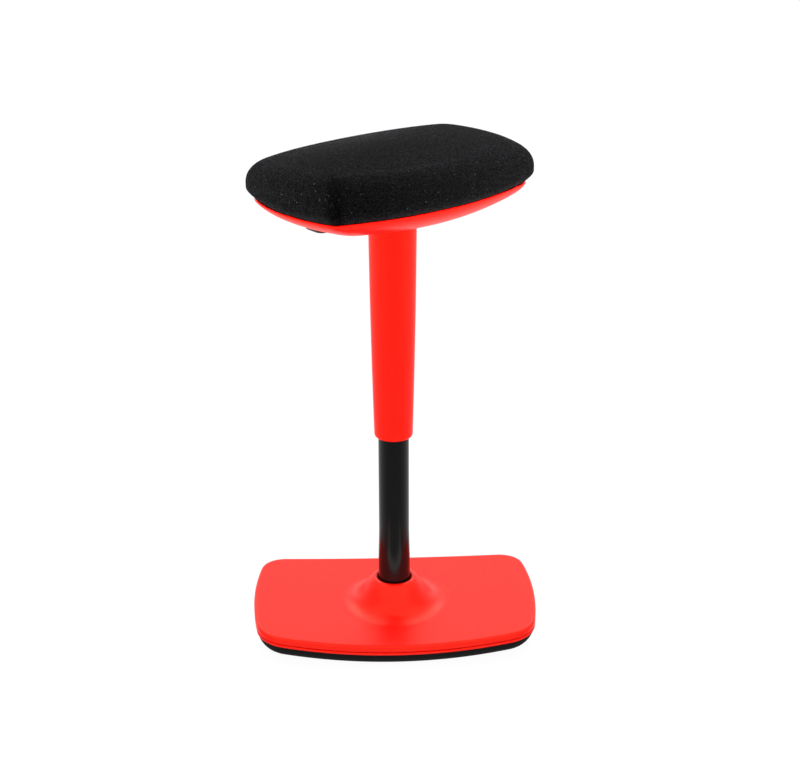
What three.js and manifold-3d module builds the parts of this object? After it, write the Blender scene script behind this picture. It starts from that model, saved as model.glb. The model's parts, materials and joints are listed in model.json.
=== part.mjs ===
// A height-adjustable wobble stool in millimetres, +Z up.
// The origin lies on the floor under the column's axis, and the base's long side runs along X.
// The base rocks on its convex sole, the seat swivels on the column and rises 250 mm on a gas spring.
import * as THREE from 'three';
import { mergeVertices } from 'three/addons/utils/BufferGeometryUtils.js';
import Module from 'manifold-3d';

const wasm = await Module();
wasm.setup();

// Clearances that every piece shares
const gap = 0.3;
const overrun = 3;

// How the stool stands at rest: seat fully up and turned on the column
const stroke = 250;
const seatTurnDegrees = 37.5;

// Facet counts of a quarter of an outline, and around turned pieces
const baseFacets = { short: 3, corner: 5, long: 4 };
const padFacets = { short: 3, corner: 4, long: 4 };
const smallFacets = { short: 1, corner: 4, long: 2 };
const roundFacets = 28;
const flangeFacets = 20;
const boreFacets = 16;
const screwFacets = 8;

// Where the rings of the lofted pieces lie: degrees round a curve, and shares of a curve, height or width
const flankShares = [0.25, 0.45, 0.62, 0.8, 1];
const innerFlankShares = [1, 0.62, 0.25];
const edgeTurns = [30, 60, 90];
const shellTurns = [4, 18, 33, 49, 68, 90];
const innerShellTurns = [90, 60, 28, 4];
const padTurns = [0, 25, 45, 65, 90];
const innerPadTurns = [0, 40, 90];
const domeShares = [0.55, 1];
const plateShares = [0.5, 1];
const bellyShares = [0.25, 0.5, 1];
const innerBellyShares = [0.25, 1];
const crownShares = [0.55];

// Base shells: plan outline with bowed sides, and the levels of the two red mouldings
const base = {
  outline: { halfWidth: 237, halfDepth: 153.2, longArc: 1197, shortArc: 583, corner: 50.6 },
  endLift: 16.4,
  lipBottom: 26,
  seam: 32,
  seamGap: 1.2,
  top: 43,
  wall: 3,
  edgeRound: 5.4,
  seamRound: 1.2,
  tongueHeight: 3.5,
};

// Rubber sole: a skin that curves in under the lip and runs on as a shallow dome
const sole = {
  skin: 4,
  topInset: 1.2,
  turnInset: 7.5,
  domeInset: 28,
  domeRise: 2.2,
  footShare: 0.2,
  footDrop: 0,
};

// Collar round the foot of the column: a rounded rim, and a flank that flares out to the flat top.
// The neck and foot lengths set how far the flank keeps the slope of either end.
const collar = {
  bore: 28.8,
  rim: 8.5,
  lipRound: 2.8,
  height: 90,
  boreDepth: 16,
  flare: 55.5,
  neckOut: 21,
  neckDown: 20.6,
  footIn: 32.4,
  footUp: 7.3,
};

// Steel in the base
const ballast = {
  outline: { halfWidth: 125, halfDepth: 88, longArc: 900, shortArc: 600, corner: 22 },
  bottom: 15,
  thickness: 8,
  eye: 20,
};
const hub = { flange: 55, flangeThickness: 6, spigot: 24.1, spigotBore: 21, spigotTop: 105, boltCircle: 42 };

// Screws and bolts: shank, head and length under the head
const coverScrew = { shank: 2, head: 4, headHeight: 2.6, length: 15 };
const ballastScrew = { shank: 3, head: 5.5, headHeight: 2.8, length: 11.5 };
const hubBolt = { shank: 4, head: 7, headHeight: 5, length: 13 };
const plateBolt = { shank: 3, head: 5.4, headHeight: 4, length: 13.5 };
const shellScrew = { shank: 2, head: 4, headHeight: 2.6, length: 13 };

// Posts inside the base: the outer four take the cover screws, the inner four carry the ballast
const coverPost = { radius: 7, rise: 10, web: 3, boss: 5.5, endInset: 67, sideInset: 65.2 };
const ballastPost = { radius: 9, web: 3.2, x: 95, y: 62 };

// Column: stand tube with a belled foot, its guide bush, gas spring and thrust bearing
const tube = { radius: 25, wall: 2, bell: 26.4, bellTop: 115, neckBottom: 185, top: 403 };
const bush = { length: 80, land: 16, waist: 18, capThickness: 2.6 };
const rod = { radius: 5, tail: 4, groove: 3.2, tip: 1.6, headRadius: 5.6, headHeight: 2.2, neck: 3.5 };
const clip = { thickness: 1.2, radius: 8, mouth: 5, washer: 10, washerThickness: 1.2 };
const bearing = { radius: 14, washer: 2, ball: 2.3, ballCircle: 9.6, balls: 6, cageWall: 1.9, cageHeight: 2 };
const bumpStop = { radius: 13, height: 11, waist: 10.5 };
const gasSpring = {
  radius: 14,
  bore: 12.2,
  length: 444,
  endWall: 9,
  taperLength: 54,
  taper: 0.8,
  chamfer: 0.9,
};
const rodGuide = { height: 10, recess: 1 };
const piston = { height: 12, ring: 4, groove: 1.2 };
const releasePin = { radius: 3, proud: 4, valveHead: 4.6, valveHeight: 4 };

// Seat: plan outline of the upholstery, how far its seam lies over the gas spring, and its rounding
const pad = {
  outline: { halfWidth: 222.4, halfDepth: 150.3, longArc: 513, shortArc: 271, corner: 37.2 },
  rise: 16.8,
  height: 62.7,
  tuck: 15.7,
  belly: 18.6,
  roundIn: 47,
  roundDown: 37.5,
  crown: 6,
  innerCorner: 20,
  fabric: 1.5,
  foldInset: 50,
};

// Red seat shell: rim under the pad, sides that run down to a smaller flat bottom
const shell = {
  rimInset: 12,
  rimDrop: 0.2,
  depth: 37.4,
  wall: 3,
  bottomHalfWidth: 105,
  bottomHalfDepth: 81,
  squareShare: 0.62,
  fullness: 1.62,
  leverSlotStart: 60,
  leverSlotLength: 32,
  leverSlotHalfWidth: 9,
};

// Column sleeve that hangs from the shell and slides over the stand tube
const sleeve = { rimRadius: 31.45, topRadius: 37.9, bow: 1.87, wall: 2.5, length: 374, lipIn: 2, lipUp: 5 };
const spigot = { radius: 35.2, height: 8, groove: 1.2, ringThickness: 2.6, ringWidth: 6, ringMouth: 14 };

// Seat board and what bolts to it
const board = { inset: 24, thickness: 12 };
const seatPlate = {
  outline: { halfWidth: 92, halfDepth: 68, longArc: 2400, shortArc: 2400, corner: 18 },
  thickness: 2.5,
  flange: 28,
  slope: 8,
  depth: 22.4,
  boltX: 78,
  boltY: 54,
};
const teeNut = { flange: 8, flangeThickness: 1.2, barrel: 4.2, barrelLength: 9 };
const shellPost = { radius: 6.5, web: 3, x: 106, y: 40 };
const socket = { wall: 3.2, skirt: 8, flange: 21, flangeThickness: 3 };

// Release lever: a stamped bar on a pivot pin, with a moulded paddle under the shell
const lever = {
  turnDegrees: 13,
  thickness: 3,
  halfWidth: 6.5,
  nose: 6,
  bendInner: 44,
  bendOuter: 84,
  drop: 36.5,
  end: 116,
  hub: 4.3,
  pivot: 30,
  pivotRadius: 2,
  ear: 3,
  earHalfLength: 6,
  pinHead: 3.6,
  pinHeadHeight: 1.5,
};
const paddle = {
  outline: { halfWidth: 22, halfDepth: 22, longArc: 300, shortArc: 300, corner: 12 },
  x: -110,
  y: 34,
  height: 7.3,
  edge: 3,
  edgeRise: 1.5,
  crest: 0.3,
  below: 1.8,
};

// Materials
function material(color, roughness, metalness) {
  return new THREE.MeshStandardMaterial({ color, roughness, metalness });
}
const redPlastic = material(0xf03024, 0.35, 0);
const blackRubber = material(0x151413, 0.8, 0);
const blackSteel = material(0x1a1b1b, 0.4, 0.6);
const blackPlastic = material(0x1c1c1c, 0.55, 0);
const brightSteel = material(0xb8bcc0, 0.25, 1);
const zincSteel = material(0x9a9da0, 0.45, 0.9);
const greyPlastic = material(0xcfccc4, 0.6, 0);
const plywood = material(0xc49a66, 0.75, 0);
const foam = material(0xe3d9a8, 0.95, 0);
const wool = material(0x1b1b1d, 0.95, 0);

// Points of a quarter-symmetric outline: bowed long and short sides joined by tangent corner arcs
function outlinePoints(size, inset, facets, cornerFloor = 0) {
  const longArc = size.longArc - inset;
  const shortArc = size.shortArc - inset;
  const corner = Math.max(size.corner - inset, cornerFloor);
  const longCentre = new THREE.Vector2(0, size.halfDepth - size.longArc);
  const shortCentre = new THREE.Vector2(size.halfWidth - size.shortArc, 0);
  const cornerCentre = meetingPoint(longCentre, longArc - corner, shortCentre, shortArc - corner);
  const shortEnd = cornerCentre.clone().sub(shortCentre).angle();
  const longEnd = cornerCentre.clone().sub(longCentre).angle();
  const quarter = [
    ...arcPoints(shortCentre, shortArc, 0, shortEnd, facets.short),
    ...arcPoints(cornerCentre, corner, shortEnd, longEnd, facets.corner),
    ...arcPoints(longCentre, longArc, longEnd, Math.PI / 2, facets.long),
  ];
  const mirrored = quarter.slice(1).reverse().map((p) => new THREE.Vector2(-p.x, p.y));
  const top = new THREE.Vector2(0, size.halfDepth - inset);
  const upper = [...quarter, top, ...mirrored, new THREE.Vector2(-quarter[0].x, 0)];
  const lower = upper.slice(1, -1).reverse().map((p) => new THREE.Vector2(p.x, -p.y));
  return [...upper, ...lower];
}

// Point at the given distances from two centres, on the side of +X and +Y
function meetingPoint(first, firstDistance, second, secondDistance) {
  const across = second.clone().sub(first);
  const span = across.length();
  const along = (firstDistance ** 2 - secondDistance ** 2 + span ** 2) / (2 * span);
  const aside = Math.sqrt(firstDistance ** 2 - along ** 2);
  across.normalize();
  const normal = new THREE.Vector2(-across.y, across.x);
  const foot = first.clone().addScaledVector(across, along);
  const point = foot.clone().addScaledVector(normal, aside);
  const other = foot.clone().addScaledVector(normal, -aside);
  return point.x > 0 && point.y > 0 ? point : other;
}

function arcPoints(centre, radius, from, to, steps) {
  const points = [];
  for (let i = 0; i < steps; i++) {
    const angle = from + ((to - from) * i) / steps;
    points.push(new THREE.Vector2(centre.x + radius * Math.cos(angle), centre.y + radius * Math.sin(angle)));
  }
  return points;
}

// Rings: an outline lifted to a height, which may depend on the place
function ringAt(points, height) {
  return points.map((p) => new THREE.Vector3(p.x, p.y, typeof height === 'function' ? height(p) : height));
}
function scaledPoints(points, shareX, shareY = shareX) {
  return points.map((p) => new THREE.Vector2(p.x * shareX, p.y * shareY));
}
function circlePoints(points, radius) {
  return points.map((p) => p.clone().setLength(radius));
}
function blendedPoints(from, to, share) {
  return from.map((p, i) => p.clone().lerp(to[i], share));
}

// Skin between rings. A single point before or after the rings closes that end,
// and without end points the last ring runs back into the first one. Each quad is split along its
// shorter diagonal, so that layers that lie on each other are split alike.
function loft(rings, start = null, end = null) {
  const count = rings[0].length;
  const points = rings.flat();
  const positions = points.flatMap((p) => [p.x, p.y, p.z]);
  const triangles = [];
  const strips = start ? rings.length - 1 : rings.length;
  for (let r = 0; r < strips; r++) {
    const near = r * count;
    const far = ((r + 1) % rings.length) * count;
    for (let i = 0; i < count; i++) {
      const next = (i + 1) % count;
      const forward = points[near + i].distanceTo(points[far + next]);
      const backward = points[near + next].distanceTo(points[far + i]);
      if (forward < backward) {
        triangles.push(near + i, near + next, far + next, near + i, far + next, far + i);
      } else {
        triangles.push(near + i, near + next, far + i, near + next, far + next, far + i);
      }
    }
  }
  if (start) {
    const last = (rings.length - 1) * count;
    const apex = rings.length * count;
    positions.push(start.x, start.y, start.z, end.x, end.y, end.z);
    for (let i = 0; i < count; i++) {
      const next = (i + 1) % count;
      triangles.push(apex, next, i, last + i, last + next, apex + 1);
    }
  }
  return facingOut(positions, triangles);
}

// Closed geometry whose faces point out, without triangles that have no area
function facingOut(positions, triangles) {
  const corner = (i) => new THREE.Vector3(positions[3 * i], positions[3 * i + 1], positions[3 * i + 2]);
  let volume = 0;
  for (let t = 0; t < triangles.length; t += 3) {
    const [a, b, c] = [corner(triangles[t]), corner(triangles[t + 1]), corner(triangles[t + 2])];
    volume += a.dot(b.cross(c));
  }
  const index = volume < 0 ? triangles.slice().reverse() : triangles;
  const geometry = new THREE.BufferGeometry();
  geometry.setAttribute('position', new THREE.Float32BufferAttribute(positions, 3));
  geometry.setIndex(index);
  return geometry;
}

// Vertices shared by position only, as a closed body needs
function welded(geometry) {
  geometry.deleteAttribute('normal');
  geometry.deleteAttribute('uv');
  const merged = mergeVertices(geometry);
  const source = merged.index.array;
  const triangles = [];
  for (let t = 0; t < source.length; t += 3) {
    const [a, b, c] = [source[t], source[t + 1], source[t + 2]];
    if (a !== b && b !== c && c !== a) triangles.push(a, b, c);
  }
  return facingOut(Array.from(merged.attributes.position.array), triangles);
}

// Turned piece: a profile of [radius, height] pairs. Off the axis it closes on itself.
function turned(profile, facets = roundFacets) {
  const points = profile.map(([radius, height]) => new THREE.Vector2(radius, height));
  const solidOnAxis = points[0].x === 0;
  if (!solidOnAxis) points.push(points[0].clone());
  return welded(new THREE.LatheGeometry(points, facets).rotateX(Math.PI / 2));
}

// Flat piece: an outline with round holes, extruded upwards
function extruded(points, holes, thickness) {
  const shape = new THREE.Shape(points);
  for (const hole of holes) {
    shape.holes.push(new THREE.Path().absarc(hole.x, hole.y, hole.radius, 0, 2 * Math.PI, true));
  }
  const options = { depth: thickness, bevelEnabled: false, curveSegments: screwFacets / 2 };
  return welded(new THREE.ExtrudeGeometry(shape, options));
}

// Upright cylinder from one height to another, and a box between two corners
function upright(radius, bottom, top, x = 0, y = 0, facets = boreFacets) {
  const cylinder = new THREE.CylinderGeometry(radius, radius, top - bottom, facets);
  return welded(cylinder.rotateX(Math.PI / 2).translate(x, y, (bottom + top) / 2));
}
function block(from, to) {
  const size = to.clone().sub(from);
  const centre = from.clone().add(to).multiplyScalar(0.5);
  return welded(new THREE.BoxGeometry(size.x, size.y, size.z).translate(centre.x, centre.y, centre.z));
}

// Cylinder that lies along Y
function crosswise(radius, from, to, x, z, facets = boreFacets) {
  const cylinder = new THREE.CylinderGeometry(radius, radius, to - from, facets);
  return welded(cylinder.translate(x, (from + to) / 2, z));
}

// Joins and cuts between closed geometries
function toSolid(geometry) {
  const vertProperties = new Float32Array(geometry.attributes.position.array);
  const triVerts = new Uint32Array(geometry.index.array);
  return new wasm.Manifold(new wasm.Mesh({ numProp: 3, vertProperties, triVerts }));
}
function toGeometry(solid) {
  const mesh = solid.getMesh();
  return facingOut(Array.from(mesh.vertProperties), Array.from(mesh.triVerts));
}
function joined(body, additions) {
  return toGeometry(additions.reduce((solid, piece) => solid.add(toSolid(piece)), toSolid(body)));
}
function cut(body, tools) {
  return toGeometry(tools.reduce((solid, tool) => solid.subtract(toSolid(tool)), toSolid(body)));
}

// Corner places that repeat in all four quarters
function fourCorners(x, y) {
  return [[x, y], [-x, y], [-x, -y], [x, -y]];
}
const coverPlaces = fourCorners(
  base.outline.halfWidth - coverPost.endInset,
  base.outline.halfDepth - coverPost.sideInset,
);
const ballastPlaces = fourCorners(ballastPost.x, ballastPost.y);
const plateBoltPlaces = fourCorners(seatPlate.boltX, seatPlate.boltY);
const shellPlaces = fourCorners(shellPost.x, shellPost.y);
const hubBoltPlaces = fourCorners(hub.boltCircle * Math.SQRT1_2, hub.boltCircle * Math.SQRT1_2);

// Heights that follow from the sizes above, from the floor up
const soleInside = sole.skin;
const panOutside = soleInside + gap;
const panInside = panOutside + base.wall;
const hubBottom = ballast.bottom + ballast.thickness + gap;
const hubFloor = hubBottom + hub.flangeThickness;
const lowerWasherBottom = hubFloor + gap;
const ballCentre = lowerWasherBottom + bearing.washer + gap + bearing.ball;
const upperWasherBottom = ballCentre + bearing.ball + gap;
const rodShoulder = upperWasherBottom + bearing.washer + gap;
const bumpStopTop = rodShoulder + bumpStop.height;
const springBottom = bumpStopTop + gap + stroke;
const springTop = springBottom + gasSpring.length;
const guideBottom = springBottom + rodGuide.recess;
const pistonBottom = guideBottom + rodGuide.height + gap;
const clipTop = hubBottom - gap - clip.washerThickness - gap;
const padSeam = springTop + pad.rise;
const boardBottom = padSeam - board.thickness / 3;
const boardTop = boardBottom + board.thickness;
const shellRim = padSeam - shell.rimDrop;
const shellBottom = shellRim - shell.depth;
const shellFloor = shellBottom + shell.wall;
const plateTop = boardBottom - gap;
const plateFloor = plateTop - seatPlate.depth;
const leverUnderside = springTop + releasePin.proud + gap;
const leverCentre = leverUnderside + lever.thickness / 2;
const sleeveTop = shellBottom - gap;

// The base's ends rise as a parabola along X
function lift(x) {
  return base.endLift * (x / base.outline.halfWidth) ** 2;
}
function baseRing(inset, height) {
  return ringAt(outlinePoints(base.outline, inset, baseFacets), (p) => height + lift(p.x));
}

// One layer of the dome under the base: its middle, its rings and the curve up to the lip.
// depth is how far the layer lies inside the sole's outer face.
function domeRings(depth, shares) {
  const edge = outlinePoints(base.outline, sole.domeInset + depth, baseFacets);
  return shares.map((share) => {
    const points = scaledPoints(edge, share);
    return ringAt(points, (p) => depth + sole.domeRise * share ** 2 + lift(p.x));
  });
}
function sideRings(depth, topHeight, steps) {
  const curve = new THREE.QuadraticBezierCurve(
    new THREE.Vector2(sole.domeInset + depth, sole.domeRise + depth),
    new THREE.Vector2(sole.turnInset + depth, sole.domeRise + depth),
    new THREE.Vector2(sole.topInset + depth, topHeight),
  );
  return curve.getPoints(steps).slice(1).map((p) => baseRing(p.x, p.y));
}

// Holes for the screws that come up from below
function screwHolesBelow(coverRadius, ballastRadius, topOf) {
  return [
    ...coverPlaces.map(([x, y]) => upright(coverRadius, -overrun, topOf(x), x, y, screwFacets)),
    ...ballastPlaces.map(([x, y]) => upright(ballastRadius, -overrun, topOf(x), x, y, screwFacets)),
  ];
}

function soleGeometry() {
  const foot = scaledPoints(outlinePoints(base.outline, sole.domeInset, baseFacets), sole.footShare);
  const rings = [
    ringAt(foot, sole.footDrop),
    ...domeRings(0, domeShares),
    ...sideRings(0, base.lipBottom - gap, 3),
    ...sideRings(soleInside, base.lipBottom - gap, 2).reverse(),
    ...domeRings(soleInside, domeShares).reverse(),
  ];
  const skin = loft(rings, new THREE.Vector3(0, 0, sole.footDrop), new THREE.Vector3(0, 0, soleInside));
  const holeTop = (x) => lift(x) + sole.domeRise + panInside;
  return cut(skin, screwHolesBelow(coverScrew.head + 2 * gap, ballastScrew.head + 2 * gap, holeTop));
}

// Middle of the pan's floor at a post, and the top faces of the posts there
function panMiddle(x, y) {
  const shareX = Math.abs(x) / (base.outline.halfWidth - sole.domeInset);
  const shareY = Math.abs(y) / (base.outline.halfDepth - sole.domeInset);
  return panInside - base.wall / 2 + sole.domeRise * Math.max(shareX, shareY) ** 2 + lift(x);
}
function coverPostTop(x) {
  return panInside + sole.domeRise + lift(x) + coverPost.rise;
}
const ballastPostTop = ballast.bottom - gap;

function basePanGeometry() {
  const lipTop = base.seam - base.seamGap;
  const tongueOut = base.wall + gap;
  const rings = [
    ...domeRings(panOutside, domeShares),
    ...sideRings(panOutside, base.lipBottom, 2),
    baseRing(base.seamRound, base.lipBottom),
    baseRing(0, base.lipBottom + base.seamRound),
    baseRing(0, lipTop - base.seamRound),
    baseRing(base.seamRound, lipTop),
    baseRing(tongueOut, lipTop),
    baseRing(tongueOut, lipTop + base.tongueHeight),
    ...sideRings(panInside, base.lipBottom + base.wall, 2).reverse(),
    ...domeRings(panInside, domeShares).reverse(),
  ];
  const tray = loft(rings, new THREE.Vector3(0, 0, panOutside), new THREE.Vector3(0, 0, panInside));
  const posts = [
    ...coverPlaces.map(([x, y]) =>
      upright(coverPost.radius, panMiddle(x, y), coverPostTop(x), x, y, screwFacets)),
    ...ballastPlaces.map(([x, y]) =>
      upright(ballastPost.radius, panMiddle(x, y), ballastPostTop, x, y, screwFacets)),
  ];
  const bores = [
    ...coverPlaces.map(([x, y]) =>
      upright(coverScrew.head + 2 * gap, -overrun, coverPostTop(x) - coverPost.web, x, y, screwFacets)),
    ...coverPlaces.map(([x, y]) =>
      upright(coverScrew.shank + gap, -overrun, coverPostTop(x) + overrun, x, y, screwFacets)),
    ...ballastPlaces.map(([x, y]) =>
      upright(ballastScrew.head + 2 * gap, -overrun, ballastPostTop - ballastPost.web, x, y, screwFacets)),
    ...ballastPlaces.map(([x, y]) =>
      upright(ballastScrew.shank + gap, -overrun, ballastPostTop + overrun, x, y, screwFacets)),
  ];
  return cut(joined(tray, posts), bores);
}

// Flared collar: the outside of its flank is one curve, and the inside runs parallel to it
function baseCoverGeometry() {
  const edge = outlinePoints(base.outline, base.edgeRound, baseFacets);
  const rimRadius = collar.bore + collar.rim;
  const shoulder = collar.height - collar.lipRound;
  const footRadius = rimRadius + collar.flare;
  const ceiling = base.top - base.wall;
  const liftShare = (radius) => Math.max(0, (radius - rimRadius) / collar.flare);
  const circle = (radius, height) =>
    ringAt(circlePoints(edge, radius), (p) => height + lift(p.x) * liftShare(radius));
  const curve = new THREE.CubicBezierCurve(
    new THREE.Vector2(rimRadius, shoulder),
    new THREE.Vector2(rimRadius + collar.neckOut, shoulder - collar.neckDown),
    new THREE.Vector2(footRadius - collar.footIn, base.top + collar.footUp),
    new THREE.Vector2(footRadius, base.top),
  );
  const flank = (offset, shares) => shares.map((share) => {
    const point = curve.getPoint(share);
    const along = curve.getTangent(share);
    return circle(point.x + offset * along.y, point.y - offset * along.x);
  });
  const plateRing = (share, height) => {
    const points = blendedPoints(circlePoints(edge, footRadius), edge, share);
    return ringAt(points, (p) => height + lift(p.x));
  };
  const edgeRound = (degrees) => {
    const turn = THREE.MathUtils.degToRad(degrees);
    const inset = base.edgeRound * (1 - Math.sin(turn));
    return baseRing(inset, base.top - base.edgeRound * (1 - Math.cos(turn)));
  };
  const rings = [
    circle(collar.bore, collar.height - collar.boreDepth),
    circle(collar.bore, shoulder),
    circle(collar.bore + collar.lipRound, collar.height),
    circle(rimRadius, shoulder),
    ...flank(0, flankShares),
    ...plateShares.map((share) => plateRing(share, base.top)),
    ...edgeTurns.map(edgeRound),
    baseRing(0, base.seam + base.seamRound),
    baseRing(base.seamRound, base.seam),
    baseRing(base.wall, base.seam),
    baseRing(base.wall, base.top - base.edgeRound),
    baseRing(base.wall + base.edgeRound / 2, ceiling),
    ...flank(base.wall, innerFlankShares),
    circle(collar.bore + base.wall, collar.height - collar.boreDepth),
  ];
  const bosses = coverPlaces.map(([x, y]) =>
    upright(coverPost.boss, coverPostTop(x) + gap, ceiling + lift(x) + base.wall / 2, x, y, screwFacets));
  const pilots = coverPlaces.map(([x, y]) => {
    const top = coverPostTop(x) + coverScrew.length;
    return upright(coverScrew.shank + gap, coverPostTop(x) - overrun, top, x, y, screwFacets);
  });
  return cut(joined(loft(rings), bosses), pilots);
}

function ballastGeometry() {
  const holes = [
    { x: 0, y: 0, radius: ballast.eye },
    ...ballastPlaces.map(([x, y]) => ({ x, y, radius: ballastScrew.shank + gap })),
    ...hubBoltPlaces.map(([x, y]) => ({ x, y, radius: hubBolt.shank + gap })),
  ];
  return extruded(outlinePoints(ballast.outline, 0, smallFacets), holes, ballast.thickness);
}

function hubGeometry() {
  const body = turned([
    [rod.tail + gap, 0],
    [hub.flange, 0],
    [hub.flange, hub.flangeThickness],
    [hub.spigot, hub.flangeThickness],
    [hub.spigot, hub.spigotTop - hubBottom],
    [hub.spigotBore, hub.spigotTop - hubBottom],
    [hub.spigotBore, hub.flangeThickness],
    [rod.tail + gap, hub.flangeThickness],
  ], flangeFacets);
  const bores = hubBoltPlaces.map(([x, y]) =>
    upright(hubBolt.shank + gap, -overrun, hub.flangeThickness + overrun, x, y, screwFacets));
  return cut(body, bores);
}

// Screw whose bearing face is at height 0, with the shank going up and the head below
function screwGeometry(size) {
  return turned([
    [0, -size.headHeight],
    [size.head - size.headHeight / 3, -size.headHeight],
    [size.head, 0],
    [size.shank, 0],
    [size.shank, size.length],
    [0, size.length],
  ], screwFacets);
}

// Hexagon bolt with the head below height 0
function boltGeometry(size) {
  const head = upright(size.head, -size.headHeight, 0, 0, 0, 6);
  return joined(head, [upright(size.shank, -size.headHeight / 2, size.length, 0, 0, screwFacets)]);
}

// Stand tube: straight above, with a smooth bell at its foot that slips over the hub's spigot
function standTubeGeometry() {
  const steps = 4;
  const bellPoints = [];
  for (let i = 0; i <= steps; i++) {
    const share = i / steps;
    const ease = share * share * (3 - 2 * share);
    const height = tube.bellTop + (tube.neckBottom - tube.bellTop) * share;
    bellPoints.push([tube.bell - (tube.bell - tube.radius) * ease, height - hubFloor - gap]);
  }
  const top = tube.top - hubFloor - gap;
  const outer = [[tube.bell, 0], ...bellPoints, [tube.radius, top]];
  const inner = [outer[0], outer[1], outer[steps + 1], outer[steps + 2]]
    .map(([radius, height]) => [radius - tube.wall, height]).reverse();
  return turned([...outer, ...inner]);
}

// Guide bush: two lands that run on the gas spring, a waist between them and a cap on the tube's end
function bushGeometry() {
  const bore = gasSpring.radius + gap;
  const land = tube.radius - tube.wall - gap;
  return turned([
    [bore, -bush.length],
    [land, -bush.length],
    [land, -bush.length + bush.land],
    [bush.waist, -bush.length + bush.land],
    [bush.waist, -bush.land],
    [land, -bush.land],
    [land, gap],
    [tube.radius, gap],
    [tube.radius, gap + bush.capThickness / 2],
    [tube.radius - bush.capThickness / 2, gap + bush.capThickness],
    [bore, gap + bush.capThickness],
  ], boreFacets);
}

// Thrust bearing: flat washers and a cage that carries the balls
function washerGeometry(bore, radius, thickness, facets = boreFacets) {
  return turned([[bore, 0], [radius, 0], [radius, thickness], [bore, thickness]], facets);
}
function ballCageGeometry() {
  const inner = bearing.ballCircle - bearing.ball - bearing.cageWall;
  const outer = bearing.ballCircle + bearing.ball + bearing.cageWall;
  const ring = turned([
    [inner, -bearing.cageHeight / 2],
    [outer, -bearing.cageHeight / 2],
    [outer, bearing.cageHeight / 2],
    [inner, bearing.cageHeight / 2],
  ], boreFacets);
  const balls = [];
  for (let i = 0; i < bearing.balls; i++) {
    const angle = (2 * Math.PI * i) / bearing.balls;
    const ball = new THREE.SphereGeometry(bearing.ball, 6, 5).rotateX(Math.PI / 2);
    const [x, y] = [bearing.ballCircle * Math.cos(angle), bearing.ballCircle * Math.sin(angle)];
    balls.push(welded(ball.translate(x, y, 0)));
  }
  return joined(ring, balls);
}

function bumpStopGeometry() {
  const bore = rod.radius + gap;
  return turned([
    [bore, 0],
    [bumpStop.radius, 0],
    [bumpStop.waist, bumpStop.height / 2],
    [bumpStop.radius, bumpStop.height],
    [bore, bumpStop.height],
  ], boreFacets);
}

// Piston rod: grooved tail below the hub, shoulder on the bearing, riveted head over the piston
function rodGeometry() {
  const bottom = clipTop - clip.thickness - gap - rod.tip;
  const pistonTop = pistonBottom + piston.height + gap;
  return turned([
    [0, bottom],
    [rod.tail, bottom],
    [rod.tail, clipTop - clip.thickness - gap],
    [rod.groove, clipTop - clip.thickness - gap],
    [rod.groove, clipTop + gap],
    [rod.tail, clipTop + gap],
    [rod.tail, rodShoulder],
    [rod.radius, rodShoulder],
    [rod.radius, pistonBottom - gap],
    [rod.neck, pistonBottom - gap],
    [rod.neck, pistonTop],
    [rod.headRadius, pistonTop],
    [rod.headRadius, pistonTop + rod.headHeight],
    [0, pistonTop + rod.headHeight],
  ], boreFacets);
}

// Open spring ring: a washer with a mouth cut in it
function openRingGeometry(bore, radius, thickness, mouth, facets = boreFacets) {
  const ring = washerGeometry(bore, radius, thickness, facets);
  const slot = block(
    new THREE.Vector3(0, -mouth / 2, -overrun),
    new THREE.Vector3(radius + overrun, mouth / 2, thickness + overrun),
  );
  return cut(ring, [slot]);
}

// Piston with a groove for its seal
function pistonGeometry() {
  const bore = rod.neck + gap;
  const radius = gasSpring.bore - gap;
  const low = (piston.height - piston.ring) / 2;
  return turned([
    [bore, 0],
    [radius, 0],
    [radius, low],
    [radius - piston.groove, low],
    [radius - piston.groove, low + piston.ring],
    [radius, low + piston.ring],
    [radius, piston.height],
    [bore, piston.height],
  ], boreFacets);
}

// Gas spring: an open-ended cylinder whose top tapers for the seat socket
function gasSpringGeometry() {
  const tip = gasSpring.radius - gasSpring.taper;
  return turned([
    [gasSpring.bore, 0],
    [gasSpring.radius, 0],
    [gasSpring.radius, gasSpring.length - gasSpring.taperLength],
    [tip, gasSpring.length - gasSpring.chamfer],
    [tip - gasSpring.chamfer, gasSpring.length],
    [releasePin.radius + gap, gasSpring.length],
    [releasePin.radius + gap, gasSpring.length - gasSpring.endWall],
    [gasSpring.bore, gasSpring.length - gasSpring.endWall],
  ], boreFacets);
}
function rodGuideGeometry() {
  const radius = gasSpring.bore - gap;
  return turned([
    [rod.radius + gap, 0],
    [radius, 0],
    [radius, rodGuide.height],
    [rod.radius + gap, rodGuide.height],
  ], boreFacets);
}

// Release pin: it stands proud of the spring's end, with its valve head under the end wall
function releasePinGeometry() {
  const wallBottom = springTop - gasSpring.endWall;
  return turned([
    [0, wallBottom - gap - releasePin.valveHeight],
    [releasePin.valveHead, wallBottom - gap - releasePin.valveHeight],
    [releasePin.valveHead, wallBottom - gap - releasePin.valveHeight / 2],
    [releasePin.radius, wallBottom - gap],
    [releasePin.radius, springTop + releasePin.proud],
    [0, springTop + releasePin.proud],
  ], screwFacets);
}

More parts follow.
